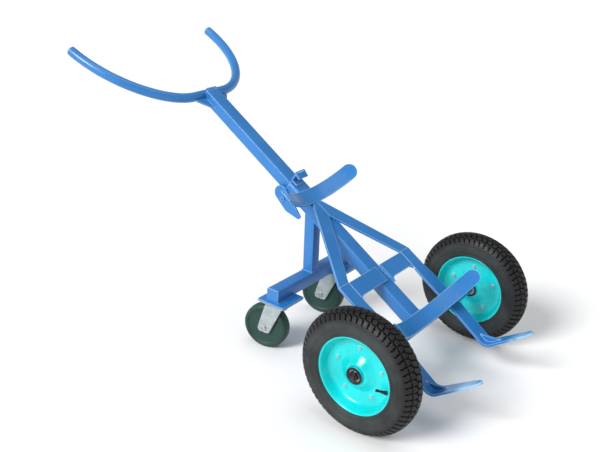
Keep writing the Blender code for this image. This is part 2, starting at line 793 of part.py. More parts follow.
def make_caster(end, side):
    pivot, axle, trail = caster_frame(side)
    half = PAD_SIZE / 2
    top = BEAM_BOTTOM - PAD_THICKNESS - 2 * GAP
    bottom = top - PLATE_THICKNESS
    plate = block(
        "caster_plate" + end,
        (pivot.x - half, pivot.y - half, bottom),
        (pivot.x + half, pivot.y + half, top),
        zinc_plate(),
    )
    hole = lathe([(0.18, 0), (0.18, 0.0063), (0.20, 0.0063), (0.20, 0)], 8, "z")
    boolean(plate, add_cutter("kingpin_hole_cutter" + end, *hole, tuple(pivot)), "DIFFERENCE")
    pin = [
        (0.1580, 0),
        (0.1580, 0.0100),
        (CROWN_BOTTOM - GAP, 0.0100),
        (CROWN_BOTTOM - GAP, 0.0058),
        (top - GAP, 0.0058),
        (top - GAP, 0),
    ]
    points, faces = lathe(pin, 8, "z")
    add_object("kingpin" + end, points, faces, bare_steel(), tuple(pivot))
    make_fork("caster_fork" + end, side)
    wheel_centre = pivot + trail * CASTER_TRAIL + Vector((0, 0, CASTER_RADIUS))
    half_wheel = [
        (0.0090, CASTER_RADIUS),
        (0.0165, 0.0785),
        (0.0210, 0.0720),
        (0.0210, 0.0640),
        (0.0175, 0.0600),
        (0.0175, 0.0250),
        (0.0235, 0.0200),
        (0.0235, 0.0083),
    ]
    points, faces = lathe(both_sides(half_wheel), CASTER_SIDES)
    wheel = add_object("caster_wheel" + end, points, faces, caster_rubber(), tuple(wheel_centre), smooth=True)
    wheel.rotation_euler[2] = CASTER_SWIVEL
    outside = LEG_INNER + LEG_THICKNESS + GAP
    pin = [
        (-outside - 0.006, 0),
        (-outside - 0.006, 0.0110),
        (-outside, 0.0110),
        (-outside, CASTER_AXLE_RADIUS),
        (outside, CASTER_AXLE_RADIUS),
        (outside, 0.0110),
        (outside + 0.006, 0.0110),
        (outside + 0.006, 0),
    ]
    points, faces = lathe(pin, 12)
    bolt = add_object("caster_axle" + end, points, faces, zinc_plate(), tuple(wheel_centre), smooth=True)
    bolt.rotation_euler[2] = CASTER_SWIVEL


def make_drum_hook():
    """The sleeve around the spine, with a lip that catches the drum's top rim and two ears for the cam."""
    inner = SPINE_WIDTH / 2 + SLIDE_GAP
    outer = inner + SLEEVE_WALL
    place = on_spine(0, LEVER_DOWN, LEVER_OUT)

    def where(down, out, across):
        return tuple(on_spine(across, down, out) - place)

    def ring(down, grow):
        low = -SPINE_DEPTH - SLIDE_GAP - grow
        high = SLIDE_GAP + grow
        wide = inner + grow
        return [where(down, out, across) for across, out in rectangle(wide, low, high)]

    ends = (HOOK_TOP, HOOK_BOTTOM)
    sleeve = box_tube([ring(down, SLEEVE_WALL) for down in ends], [ring(down, 0) for down in ends])
    hook = add_object("drum_hook", *sleeve, frame_paint(), tuple(place))
    low = SLIDE_GAP + 0.0005
    web_low = WEB_DOWN + HOOK_THICKNESS
    web = [
        (WEB_DOWN, low),
        (HOOK_TOP + 0.020, low),
        (HOOK_TOP + 0.020, low + HOOK_THICKNESS),
        (web_low, low + HOOK_THICKNESS),
        (web_low, HOOK_REACH - 0.003),
        (WEB_DOWN, HOOK_REACH - 0.003),
    ]
    lip_low = WEB_DOWN + HOOK_LIP
    lip = [
        (WEB_DOWN - 0.0002, HOOK_REACH),
        (lip_low, HOOK_REACH - HOOK_LIP_FALL),
        (lip_low - 0.0018, HOOK_REACH - HOOK_LIP_FALL - HOOK_THICKNESS),
        (WEB_DOWN - 0.0002, HOOK_REACH - HOOK_THICKNESS),
    ]
    for label, outline, half in (("_web", web, WEB_HALF_WIDTH), ("_lip", lip, LIP_HALF_WIDTH)):
        piece = prism(outline, -half, half, where)
        boolean(hook, add_cutter("hook" + label, *piece, tuple(place)), "UNION")
    back = -SPINE_DEPTH - SLIDE_GAP - SLEEVE_WALL / 2
    ear = [
        (HOOK_TOP + 0.001, -0.001),
        (HOOK_BOTTOM - 0.001, -0.001),
        (HOOK_BOTTOM - 0.001, back),
        (LEVER_DOWN + 0.012, LEVER_OUT - 0.011),
        (LEVER_DOWN + 0.004, LEVER_OUT - 0.016),
        (LEVER_DOWN - 0.006, LEVER_OUT - 0.016),
        (LEVER_DOWN - 0.013, LEVER_OUT - 0.011),
        (LEVER_DOWN - 0.014, LEVER_OUT + 0.008),
        (HOOK_TOP + 0.001, back),
    ]
    near = inner + SLEEVE_WALL / 2
    for label, start in (("_ear_a", -near - EAR_THICKNESS), ("_ear_b", near)):
        plate = prism(ear, start, start + EAR_THICKNESS, where)
        boolean(hook, add_cutter("hook" + label, *plate, tuple(place)), "UNION")
    bore = lathe([(-0.05, 0), (-0.05, 0.0055), (0.05, 0.0055), (0.05, 0)], 12)
    boolean(hook, add_cutter("hook_bore", *bore, tuple(place)), "DIFFERENCE")


def hull_of_discs(discs, steps):
    """The outline of a row of discs that tangents join, along a plate that narrows and bends."""
    points = []
    for down, out, radius in discs:
        points += arc((down, out), radius, 0, 2 * math.pi * (steps - 1) / steps, steps - 1)
    return convex_hull(points)


def convex_hull(points):
    ordered = sorted(points)
    chains = []
    for run in (ordered, list(reversed(ordered))):
        chain = []
        for point in run:
            while len(chain) > 1 and turns_right(chain[-2], chain[-1], point):
                chain.pop()
            chain.append(point)
        chains.append(chain[:-1])
    return chains[0] + chains[1]


def turns_right(first, second, third):
    ahead = (second[0] - first[0], second[1] - first[1])
    after = (third[0] - first[0], third[1] - first[1])
    return ahead[0] * after[1] - ahead[1] * after[0] < 1e-9


def make_cam_lever():
    """The lever outside the right ear, and the eccentric shaft that it turns."""
    place = on_spine(0, LEVER_DOWN, LEVER_OUT)
    ear = SPINE_WIDTH / 2 + SLIDE_GAP + SLEEVE_WALL / 2 + EAR_THICKNESS
    outer = -ear - 0.001 - LEVER_THICKNESS
    outline = hull_of_discs(LEVER_DISCS, 24)

    def where(down, out, across):
        return tuple(on_spine(across, down, out) - place)

    plate = prism(outline, outer, outer + LEVER_THICKNESS, where)
    lever = add_object("cam_lever", *plate, frame_paint(), tuple(place), smooth=True)
    bore = lathe([(-0.06, 0), (-0.06, 0.0054), (-0.03, 0.0054), (-0.03, 0)], 12)
    boolean(lever, add_cutter("lever_bore", *bore, tuple(place)), "DIFFERENCE")

    head = outer - GAP
    shaft = [
        (head - 0.004, 0),
        (head - 0.004, 0.009),
        (head, 0.009),
        (head, LEVER_PIN_RADIUS),
        (ear + 0.001, LEVER_PIN_RADIUS),
        (ear + 0.001, 0.009),
        (ear + 0.005, 0.009),
        (ear + 0.005, 0),
    ]
    points, faces = lathe(shaft, 12)
    pin = add_object("cam_shaft", points, faces, zinc_plate(), tuple(place), smooth=True)
    lobe = lathe([(-0.024, 0), (-0.024, 0.0085), (0.024, 0.0085), (0.024, 0)], 12)
    lobe = shifted(lobe, 0, OUT.y * CAM_THROW, OUT.z * CAM_THROW)
    boolean(pin, add_cutter("cam_lobe", *lobe, tuple(place)), "UNION")


def main():
    clear_scene()
    make_spine()
    make_handlebar()
    saddle = make_saddle_cutter()
    make_strap("upper_strap", UPPER_STRAP_DOWN, UPPER_STRAP_HALF, UPPER_STRAP_RADIUS, UPPER_STRAP_WIDTH)
    lower = make_strap("lower_strap", LOWER_STRAP_DOWN, LOWER_STRAP_HALF, LOWER_STRAP_RADIUS, LOWER_STRAP_WIDTH)
    boolean(lower, saddle, "DIFFERENCE")
    make_riser()
    make_rear_beam()
    make_axle_tube()
    make_axle()
    for end, side in (("_right", -1), ("_left", 1)):
        make_handle_plug("handle_plug" + end, side)
        make_handle_gusset("handle_gusset" + end, side)
        make_side_member("side_member" + end, side, saddle)
        make_cross_plate("cross_plate" + end, side)
        make_beam_cap("beam_cap" + end, side)
        make_caster_pad("caster_pad" + end, side)
        make_toe_gusset("toe_gusset" + end, side)
        make_wheel(end, side)
        make_caster(end, side)
    make_drum_hook()
    make_cam_lever()


main()
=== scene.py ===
"""The looks of the drum dolly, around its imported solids. Units are metres and +Z is up.

X runs across the dolly, -Y is the side that takes the drum, and +Y is the operator's side. "right" is the
operator's right hand, -X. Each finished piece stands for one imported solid, at its place and size. Some
differ in outline: the cross plate has larger fillets and its right half laps over half of the spine's
face, and the rims' dish is deeper and narrower at the flange. Profiles are (along, radius) pairs unless
a comment says otherwise.
"""

import json
import math

import bmesh
import bpy
from mathutils import Matrix, Vector


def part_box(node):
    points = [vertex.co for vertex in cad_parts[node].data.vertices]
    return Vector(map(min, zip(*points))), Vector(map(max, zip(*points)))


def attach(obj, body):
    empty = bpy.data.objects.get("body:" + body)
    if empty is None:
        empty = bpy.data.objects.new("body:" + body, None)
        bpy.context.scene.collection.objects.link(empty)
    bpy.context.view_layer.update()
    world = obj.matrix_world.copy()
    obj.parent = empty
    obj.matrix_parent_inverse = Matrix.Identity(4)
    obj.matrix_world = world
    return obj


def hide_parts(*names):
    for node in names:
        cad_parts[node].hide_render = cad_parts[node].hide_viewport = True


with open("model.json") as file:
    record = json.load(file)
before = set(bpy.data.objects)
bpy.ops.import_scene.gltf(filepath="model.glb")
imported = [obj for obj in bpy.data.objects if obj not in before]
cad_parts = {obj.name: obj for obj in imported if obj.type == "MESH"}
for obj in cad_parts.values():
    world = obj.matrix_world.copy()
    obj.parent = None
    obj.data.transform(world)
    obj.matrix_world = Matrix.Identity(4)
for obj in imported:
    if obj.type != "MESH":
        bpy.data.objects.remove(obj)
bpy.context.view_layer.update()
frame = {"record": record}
BODY_OF = {node: body for body, held in frame["record"]["behaviour"]["bodies"].items() for node in held}
SLOT_OF = {entry["node"]: entry["material_slot"] for entry in frame["record"]["subparts"]}
SIDES = (("_right", -1), ("_left", 1))
GAP = 0.0003

# Wheels. Their places come from the tyres.
TYRE_LOW, TYRE_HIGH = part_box("tyre_left")
AXLE_Y = (TYRE_LOW.y + TYRE_HIGH.y) / 2
WHEEL_X = (TYRE_LOW.x + TYRE_HIGH.x) / 2
WHEEL_RADIUS = 0.196
WHEEL_SIDES = 128
TREAD_PITCHES = 60
TREAD_DEPTH = 0.0055
BOLT_CIRCLE = 0.078
BOLT_COUNT = 5
FIRST_BOLT_ANGLE = math.radians(16)
VALVE_ANGLE = math.radians(196)
AXLE_RADIUS = 0.010
AXLE_TUBE_RADIUS = 0.0136
AXLE_PAST_WHEEL = 0.043
AXLE_TUBE_SHORT = 0.0318
HUB_SIDES = 64
TUBE_SIDES = 48
SHAFT_SIDES = 40
PIN_SIDES = 32
WASHER_SIDES = 28
VALVE_SIDES = 20
HEXAGON = 6

# The tread, measured round the section from its crown: two grooves and where the blocks fade out. The
# other lists are the halves of the tyre's section.
INNER_GROOVE = 0.0105
OUTER_GROOVE = 0.0270
TREAD_EDGE = 0.0500
TYRE_CROWN = (
    (0, 0.1960), (0.0105, 0.1954), (0.0215, 0.1912), (0.0325, 0.1825), (0.0407, 0.1690), (0.0438, 0.1530),
)
TYRE_FLANK = (
    (0.0438, 0.1530), (0.0436, 0.1475), (0.0441, 0.1462), (0.0431, 0.1448), (0.0408, 0.1360),
    (0.0396, 0.1300), (0.0402, 0.1288), (0.0388, 0.1272), (0.0376, 0.1222), (0.0362, 0.1216),
    (0.0334, 0.1214),
)
TYRE_INSIDE = (
    (0.0331, 0.1203), (0.0297, 0.1179), (0.0240, 0.1157), (0.0222, 0.1190),
    (0.0262, 0.1260), (0.0360, 0.1450), (0.0340, 0.1630), (0.0180, 0.1830),
)

# Other turned pieces of a wheel: the rim half's outer face and then its inner one, and the hub's pieces.
RIM = (
    (0.0365, 0.1215), (0.0365, 0.1180), (0.0325, 0.1150), (0.0215, 0.1105), (0.0090, 0.1050),
    (0.0033, 0.0960), (0.0033, 0.0600), (0.0140, 0.0440), (0.0240, 0.0335), (0.0240, 0.0273),
    (0.0210, 0.0273), (0.0210, 0.0322), (0.0116, 0.0420), (0.0002, 0.0585), (0.0002, 0.0975),
    (0.0060, 0.1075), (0.0190, 0.1130), (0.0300, 0.1172), (0.0335, 0.1195), (0.0335, 0.1215),
)
HUB_TUBE = ((-0.031, 0.0240), (-0.031, 0.0270), (0.031, 0.0270), (0.031, 0.0240))
BEARING = (
    (0.0170, 0.0103), (0.0170, 0.0237), (0.0305, 0.0237), (0.0305, 0.0215),
    (0.0296, 0.0212), (0.0296, 0.0142), (0.0305, 0.0139), (0.0305, 0.0103),
)
HUB_SEAL = ((0.0311, 0.0192), (0.0311, 0.0268), (0.0322, 0.0268), (0.0322, 0.0192))
AXLE_NUT = ((0.0313, 0.0106), (0.0313, 0.0172), (0.0403, 0.0172), (0.0403, 0.0106))
RIM_BOLT = (
    (-0.0100, 0), (-0.0100, 0.0065), (-0.0036, 0.0065), (-0.0036, 0.0040),
    (0.0036, 0.0040), (0.0036, 0.0058), (0.0090, 0.0058), (0.0090, 0),
)
BOLT_WASHER = ((0.0033, 0.0042), (0.0033, 0.0086), (0.0044, 0.0086), (0.0044, 0.0042))

# The valve: where it starts (out from the axle, across), how it leans, and (share of the lean, radius).
VALVE_START = (0.0990, 0.0060)
VALVE_LEAN = (-0.0275, 0.0180)
VALVE_STEM = ((0.0, 0.0064), (0.12, 0.0060), (0.28, 0.0044), (0.56, 0.0038))
VALVE_CAP = ((0.55, 0.0033), (0.68, 0.0033), (0.70, 0.0042), (0.96, 0.0040), (1.0, 0.0032))

# Spine. A place on it is (across, down its front face, out from that face).
SPINE_SLOPE = math.radians(32.79)
SPINE_TOP = Vector((0, AXLE_Y + 0.9093, 0.7926))
SPINE_WIDTH = 0.056
SPINE_DEPTH = 0.042
SPINE_START = -0.006
SPINE_END = 1.0725
TUBE_WALL = 0.003
TUBE_CORNER = 0.0045
RISER_CORNER = 0.004
BORE_CORNER = 0.002
DOWN = Vector((0, -math.cos(SPINE_SLOPE), -math.sin(SPINE_SLOPE)))
OUT = Vector((0, -math.sin(SPINE_SLOPE), math.cos(SPINE_SLOPE)))

# Flat bars: (down, half length, bend radius, width) for the straps.
BAR_THICKNESS = 0.008
BAR_EDGES = {"bevel": 0.0013, "sharp": 40}
PLATE_EDGES = {"bevel": 0.0008, "sharp": 50}
THIN_EDGES = {"bevel": 0.0007, "sharp": 50}
UPPER_STRAP = (0.530, 0.192, 0.262, 0.056)
LOWER_STRAP = (1.074, 0.251, 0.337, 0.052)
STRAP_STEPS = 40
STRAP_NOSE_STEPS = 12
STRAP_BLUNT = math.radians(8)
MEMBER_INNER_X = 0.153
MEMBER_WIDTH = 0.050
MEMBER_START = 0.5605
MEMBER_INNER_START = 0.621
MEMBER_SPREAD = 0.62
MEMBER_BEND = 0.852
FOOT_INNER_X = 0.150
FOOT_WIDTH = 0.058
FOOT_TAPER_START = 0.925
FOOT_TAPER_END = 0.975
MEMBER_DIP_START = 1.104
MEMBER_DIP = math.radians(3)
TOE_CORNER = 0.1649
TOE_BEND_RADIUS = 0.034
TOE_RISE = math.radians(67.3)
TOE_LENGTH = 0.174
TOE_NOSE = 0.085
TOE_HALF_WIDTH = 0.0235
TOE_GUSSET_BACK = 0.018
TOE_GUSSET_AHEAD = 0.030
TOE_GUSSET_THICKNESS = 0.008
TOE_NOSE_TURN = math.radians(82)
TOE_NOSE_STEPS = 24
CROSS_PLATE_DEPTH = 0.058
CROSS_PLATE_FILLET = 0.017
CROSS_PLATE_LAP = {-1: 0.026, 1: 0.004}

# Handlebar.
HANDLE_RADIUS = 0.01685
HANDLE_Y = AXLE_Y + 0.9304
HANDLE_Z = 0.7735
HANDLE_SLOPE = math.radians(24.46)
HANDLE_STRAIGHT = (0.070, 0.005)
HANDLE_CONTROL = ((0.185, 0.005), (0.322, 0.150), (0.329, 0.357))
HANDLE_STATIONS = 56
ROUND_SIDES = 36
PLUG = ((GAP, 0.97), (0.0006, 1.0), (0.0016, 1.0), (0.0026, 0.96), (0.0034, 0.85), (0.0039, 0.6))
GUSSET_THICKNESS = 0.005
GUSSET_OUT = -0.030

# Weld beads: the pace of their ripples and the radius of each kind.
WELD_PACE = 0.0011
WELD_SIDES = 8
WELD_TWIST = Vector((0.31, 0.52, 0.80))
FINE_BEAD = 0.0016
GUSSET_BEAD = 0.0020
MEMBER_BEAD = 0.0022
TUBE_BEAD = 0.0024
STRAP_BEAD = 0.0026
RISER_BEAD = 0.0028
PLATE_BEAD = 0.0030
HANDLE_BEAD = 0.0032

# Rear support and casters.
BEAM_Y = AXLE_Y + 0.450
BEAM_SIZE = 0.046
BEAM_HALF_LENGTH = 0.206
BEAM_BOTTOM = 0.1963
BEAM_TOP = BEAM_BOTTOM + BEAM_SIZE
RISER_HALF = 0.020
PAD_HALF = 0.055
PAD_THICKNESS = 0.006
PLATE_THICKNESS = 0.003
CASTER_X = 0.161
CASTER_RADIUS = 0.080
CASTER_TRAIL = 0.049
CASTER_SWIVEL = math.radians(12.6)
CASTER_AXLE_RADIUS = 0.0077
LEG_INNER = 0.0245
LEG_THICKNESS = 0.003
CROWN_RADIUS = 0.034
CROWN_TOP = 0.1866
CROWN_BOTTOM = 0.168
CROWN_BACK = -0.034
CROWN_FRONT = 0.044
CROWN_HIGH = 0.1725
RACE_LOW = 0.1700
RACE_SHOULDER = 0.1790
KINGPIN_LOW = 0.1580
KINGPIN_RADIUS = 0.0058
NUT_RADIUS = 0.0100
NUT_HEIGHT = 0.005
CASTER_AXLE_TIP = 0.0055
CASTER_SIDES = 96

# A caster's leg as (back, height) and half of its wheel.
LEG = (
    (-0.021, 0.1720), (0.044, 0.1720), (0.072, 0.0790), (0.070, 0.0690), (0.060, 0.0620),
    (0.055, 0.0660), (0.050, 0.0620), (0.031, 0.0620), (0.026, 0.0700),
)
CASTER_WHEEL = (
    (0.0090, CASTER_RADIUS), (0.0165, 0.0785), (0.0210, 0.0720), (0.0210, 0.0665), (0.0195, 0.0655),
    (0.0195, 0.0635), (0.0168, 0.0600), (0.0158, 0.0420), (0.0172, 0.0250), (0.0235, 0.0205),
    (0.0235, 0.0083),
)

# Sliding hook and its lever.
SLIDE_GAP = 0.0006
SLEEVE_WALL = 0.0035
HOOK_THICKNESS = 0.006
HOOK_TOP = 0.452
HOOK_BOTTOM = 0.4995
HOOK_REACH = 0.0450
HOOK_LIP = 0.027
HOOK_LIP_FALL = 0.0083
WEB_DOWN = 0.4440
WEB_HALF_WIDTH = 0.018
LIP_HALF_WIDTH = 0.0240
EAR_THICKNESS = 0.005
EAR_NOSE = ((0.012, -0.011), (0.004, -0.016), (-0.006, -0.016), (-0.013, -0.011), (-0.014, 0.008))
LEVER_DOWN = 0.468
LEVER_OUT = -0.0583
LEVER_DISCS = ((0.450, -0.048, 0.027), (0.500, -0.070, 0.015), (0.549, -0.062, 0.009))
LEVER_THICKNESS = 0.007
CAM_SHAFT_RADIUS = 0.005
CAM_HEAD_RADIUS = 0.009
CAM_RADIUS = 0.0085
CAM_HALF_LENGTH = 0.024

# Camera, lights as (name, direction, strength, degrees across), sky and shared values of the materials.
CAMERA_PLACE = Vector((-1.9679, AXLE_Y - 0.9981, 1.4391))
CAMERA_BACK = Vector((-0.7328, -0.5574, 0.3902))
CAMERA_ROLL = math.radians(2.13)
CAMERA_LENS = 46.8
SKY_STRENGTH = 0.32
HORIZON_STRENGTH = 0.98
HORIZON_LOW = 0.10
HORIZON_HIGH = 0.40
SKY_COLOUR = (0.97, 0.985, 1.0)
LIGHTS = (("key_light", (-0.78, 0.18, 0.60), 3.2, 24), ("top_light", (0.10, -0.15, 1.0), 0.8, 50))
# Reach of the enamel's pale edges, which are wear and a painted highlight.
EDGE_WEAR_AND_HIGHLIGHT = 0.0022
# Painted light on the toes' tips: its pale colour, and the span along Y over which it comes in.
TOE_TIP_LIGHT_COLOUR = (0.26, 0.46, 0.68)
TOE_TIP_LIGHT_RANGE = (-0.700, -0.735)
FLOOR_COLOURS = ((0.88, 0.88, 0.88), (0.90, 0.90, 0.90))
SATIN = 0.35


# -------- materials


def fill(tree, node, values):
    """Sets each input, by its name or number, to a value or links it to another node's output."""
    for key, value in values.items():
        target = node.inputs[key]
        if isinstance(value, bpy.types.NodeSocket):
            tree.links.new(value, target)
        else:
            target.default_value = (*value, 1) if target.type == "RGBA" else value


def add_node(tree, kind, output, values=None):
    """A new node of this kind with its inputs filled. It gives back the named output."""
    node = tree.nodes.new("ShaderNode" + kind)
    fill(tree, node, values or {})
    return node.outputs[output]


class Recipe:
    """A material's nodes, with short calls for the ones that every finish here uses."""

    def __init__(self, name, colour, roughness, metallic=0.0):
        self.material = bpy.data.materials.new(name)
        self.material.use_nodes = True
        self.material.diffuse_color = (*colour, 1)
        self.tree = self.material.node_tree
        self.finish({"Base Color": colour, "Roughness": roughness, "Metallic": metallic})
        self.place = self.add("TexCoord", "Object")
        self.normal = None

    def add(self, kind, output, values=None):
        return add_node(self.tree, kind, output, values)

    def finish(self, values):
        fill(self.tree, self.tree.nodes["Principled BSDF"], values)

    def stretched(self, scale):
        return self.add("Mapping", "Vector", {"Vector": self.place, "Scale": scale})

    def noise(self, scale, detail=3.0, stretch=None):
        place = self.stretched(stretch) if stretch else self.place
        return self.add("TexNoise", "Fac", {"Vector": place, "Scale": scale, "Detail": detail})

    def flakes(self, scale):
        return self.add("TexVoronoi", "Distance", {"Vector": self.place, "Scale": scale})

    def edges(self):
        """Above a half where the mesh bends outwards, so it needs a mesh with many points."""
        return self.add("NewGeometry", "Pointiness")

    def openness(self, reach, inside=False):
        """1 in the open, and less where walls stand within reach or, inside, near an outer edge."""
        made = self.add("AmbientOcclusion", "AO", {"Distance": reach})
        made.node.inside = inside
        made.node.only_local = True
        made.node.samples = 6
        return made

    def along_y(self):
        return self.add("SeparateXYZ", "Y", {"Vector": self.place})

    def from_axle(self):
        """How far a point of a wheel is from its own axle."""
        node = self.tree.nodes.new("ShaderNodeVectorMath")
        node.operation = "LENGTH"
        fill(self.tree, node, {0: self.stretched((0.0, 1.0, 1.0))})
        return node.outputs["Value"]

    def product(self, first, second):
        made = self.add("Math", "Value", {0: first, 1: second})
        made.node.operation = "MULTIPLY"
        return made

    def remap(self, value, low, high, to_low=0.0, to_high=1.0):
        limits = {"From Min": low, "From Max": high, "To Min": to_low, "To Max": to_high}
        return self.add("MapRange", "Result", {"Value": value, **limits})

    def blend(self, mask, first, second):
        """Mixes two colours, each a triple or another node's output."""
        node = self.tree.nodes.new("ShaderNodeMix")
        node.data_type = "RGBA"
        low, high = [key for key, item in enumerate(node.inputs) if item.type == "RGBA"]
        fill(self.tree, node, {"Factor": mask, low: first, high: second})
        return [item for item in node.outputs if item.type == "RGBA"][0]

    def bump(self, height, strength, distance):
        values = {"Height": height, "Strength": strength, "Distance": distance}
        if self.normal:
            values["Normal"] = self.normal
        self.normal = self.add("Bump", "Normal", values)
        self.finish({"Normal": self.normal})


def enamel(name, colour, shade, pale_wear_and_highlight, roughness, coat, lit_tips=None):
    """Sprayed enamel: cloudy tone, orange peel, pale flecks, pale edges that are wear and a painted
    highlight, and a clear coat.

    The last argument, if given, is (start, full) along Y, over which the paint turns pale towards the toes'
    tips: painted light, drawing the tips as lit beyond the wheels' shadow.
    """
    made = Recipe(name, colour, roughness)
    clouds = made.remap(made.noise(7.0), 0.35, 0.65)
    paint = made.blend(clouds, shade, colour)
    fleck = made.remap(made.noise(90.0, 4.0), 0.62, 0.70, 0.0, 0.05)
    paint = made.blend(fleck, paint, pale_wear_and_highlight)
    # Painted light: towards the toes' tips the paint is blended, in patches, to a pale lit colour.
    if lit_tips:
        patchy = made.remap(made.noise(45.0, 5.0), 0.25, 0.5)
        tip_light = made.product(made.remap(made.along_y(), *lit_tips), patchy)
        paint = made.blend(tip_light, paint, TOE_TIP_LIGHT_COLOUR)
    # Wear and painted highlight: near every edge the paint turns to the pale colour.
    edge = made.remap(made.openness(EDGE_WEAR_AND_HIGHLIGHT, inside=True), 0.50, 0.97, 0.90, 0.0)
    sheen = made.remap(made.noise(30.0), 0.3, 0.7, roughness - 0.06, roughness + 0.10)
    made.finish({"Base Color": made.blend(edge, paint, pale_wear_and_highlight), "Roughness": sheen})
    made.bump(made.noise(420.0, 2.0), 0.10, 0.0004)
    made.bump(made.noise(28.0, 2.0), 0.12, 0.0008)
    made.finish({"Specular IOR Level": SATIN, "Coat Weight": coat, "Coat Roughness": 0.18})
    return made.material


def zinc(name):
    """Zinc plating: faint spangle, cloudy dull patches and fine draw lines."""
    made = Recipe(name, (0.36, 0.42, 0.43), 0.38, 0.45)
    spangle = made.remap(made.flakes(160.0), 0.0, 0.6)
    base = made.blend(spangle, (0.30, 0.36, 0.37), (0.44, 0.50, 0.51))
    dull = made.remap(made.noise(22.0), 0.45, 0.65, 0.0, 0.6)
    sheen = made.remap(made.noise(60.0), 0.3, 0.7, 0.32, 0.52)
    made.finish({"Base Color": made.blend(dull, base, (0.26, 0.30, 0.29)), "Roughness": sheen})
    made.bump(made.noise(260.0, 2.0, (1.0, 1.0, 0.15)), 0.12, 0.0003)
    return made.material


def steel(name, bright, oily):
    """Machined steel with turned lines and oily dark patches."""
    made = Recipe(name, bright, 0.35, 0.9)
    patches = made.remap(made.noise(45.0), 0.4, 0.65)
    sheen = made.remap(made.noise(120.0), 0.3, 0.7, 0.25, 0.45)
    made.finish({"Base Color": made.blend(patches, bright, oily), "Roughness": sheen})
    made.bump(made.noise(500.0, 2.0, (3.0, 0.3, 0.3)), 0.15, 0.0002)
    return made.material


def rubber(name, colour, dust, dusty, grain, bloom_fade_radius=None):
    """Moulded rubber: fine grain, a dry bloom of dust that fades almost out beyond the last argument's
    radius from the axle, if one is given, and painted shade in grooves and hollows.
    """
    made = Recipe(name, colour, 0.62)
    bloom = made.remap(made.noise(14.0, 5.0), 0.30, 0.65, 0.1, dusty)
    # Beyond this radius from the axle the bloom fades, so the tread comes out darker than the flanks.
    if bloom_fade_radius:
        bloom = made.product(bloom, made.remap(made.from_axle(), bloom_fade_radius, bloom_fade_radius + 0.012, 1.0, 0.05))
    base = made.blend(bloom, colour, dust)
    edge = made.remap(made.edges(), 0.54, 0.64, 0.0, 0.45)
    base = made.blend(edge, base, dust)
    # Painted shade: grooves and other hollows of the rubber are darkened towards 0.15 of its colour.
    groove_shade = made.remap(made.openness(0.008), 0.45, 0.90, 1.0, 0.0)
    groove_shaded = made.blend(groove_shade, base, tuple(0.15 * part for part in colour))
    sheen = made.remap(made.noise(40.0), 0.3, 0.7, 0.40, 0.62)
    made.finish({"Base Color": groove_shaded, "Roughness": sheen, "Specular IOR Level": SATIN})
    made.bump(made.noise(grain, 3.0), 0.25, 0.0003)
    return made.material


def plain_floor(name):
    made = Recipe(name, FLOOR_COLOURS[0], 0.85)
    tone = made.remap(made.noise(1.5), 0.3, 0.7)
    made.finish({"Base Color": made.blend(tone, *FLOOR_COLOURS)})
    return made.material


# Each enamel's colour, its darker shade, and the pale colour of its flecks and edges, which on the edges is
# wear and a painted highlight.
BLUE = ((0.022, 0.180, 0.490), (0.016, 0.155, 0.435), (0.40, 0.62, 0.86))
TURQUOISE = ((0.0, 0.62, 0.63), (0.0, 0.48, 0.48), (0.04, 0.80, 0.80))
LOOKS = {
    "frame_paint": enamel("blue_enamel", *BLUE, 0.34, 0.38),
    # The side members' enamel carries painted light on the toes' tips.
    "member_paint": enamel("toe_lit_blue_enamel", *BLUE, 0.34, 0.38, TOE_TIP_LIGHT_RANGE),
    "rim_paint": enamel("turquoise_enamel", *TURQUOISE, 0.22, 0.30),
    "zinc_plate": zinc("zinc_plating"),
    "bare_steel": steel("machined_steel", (0.50, 0.51, 0.52), (0.20, 0.19, 0.18)),
    "dark_steel": steel("oily_steel", (0.08, 0.085, 0.09), (0.02, 0.02, 0.02)),
    "tyre_rubber": rubber("black_rubber", (0.005, 0.005, 0.006), (0.048, 0.058, 0.057), 0.60, 700.0, 0.160),
    "caster_rubber": rubber("green_rubber", (0.008, 0.038, 0.029), (0.030, 0.072, 0.058), 0.40, 420.0),
    "seal_rubber": rubber("seal_rubber", (0.008, 0.008, 0.009), (0.025, 0.025, 0.025), 0.3, 500.0),
}


# -------- mesh helpers


def add_piece(name, shapes, look, body, bevel=0.0, place=(0, 0, 0), turn=0.0, sharp=32):
    """One object from (points, faces) shapes. A bevel rounds its edges, and else creases stay sharp."""
    mesh = bpy.data.meshes.new(name)
    work = bmesh.new()
    for points, faces in shapes:
        corners = [work.verts.new(point) for point in points]
        for face in faces:
            work.faces.new([corners[index] for index in face])
    bmesh.ops.recalc_face_normals(work, faces=work.faces)
    work.to_mesh(mesh)
    work.free()
    mesh.shade_smooth()
    mesh.materials.append(LOOKS[look])
    obj = bpy.data.objects.new(name, mesh)
    obj.location = place
    obj.rotation_euler[2] = turn
    bpy.context.scene.collection.objects.link(obj)
    if bevel:
        modifier = obj.modifiers.new("edges", "BEVEL")
        modifier.width = bevel
        modifier.segments = 3
        modifier.limit_method = "ANGLE"
        modifier.angle_limit = math.radians(sharp)
        modifier.harden_normals = True
    else:
        mesh.set_sharp_from_angle(angle=math.radians(sharp))
    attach(obj, body)
    return obj


def stand_in(node, shapes, look=None, **options):
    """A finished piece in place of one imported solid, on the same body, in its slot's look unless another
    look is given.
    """
    slot = SLOT_OF[node]
    obj = add_piece(node + "_finished", shapes, look or slot, BODY_OF[node], **options)
    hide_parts(node)


def detail(name, shapes, slot, body, look=None, **options):
    """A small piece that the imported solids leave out."""
    obj = add_piece(name, shapes, look or slot, body, **options)


def shifted(shape, offset):
    points, faces = shape
    return [tuple(Vector(point) + Vector(offset)) for point in points], faces


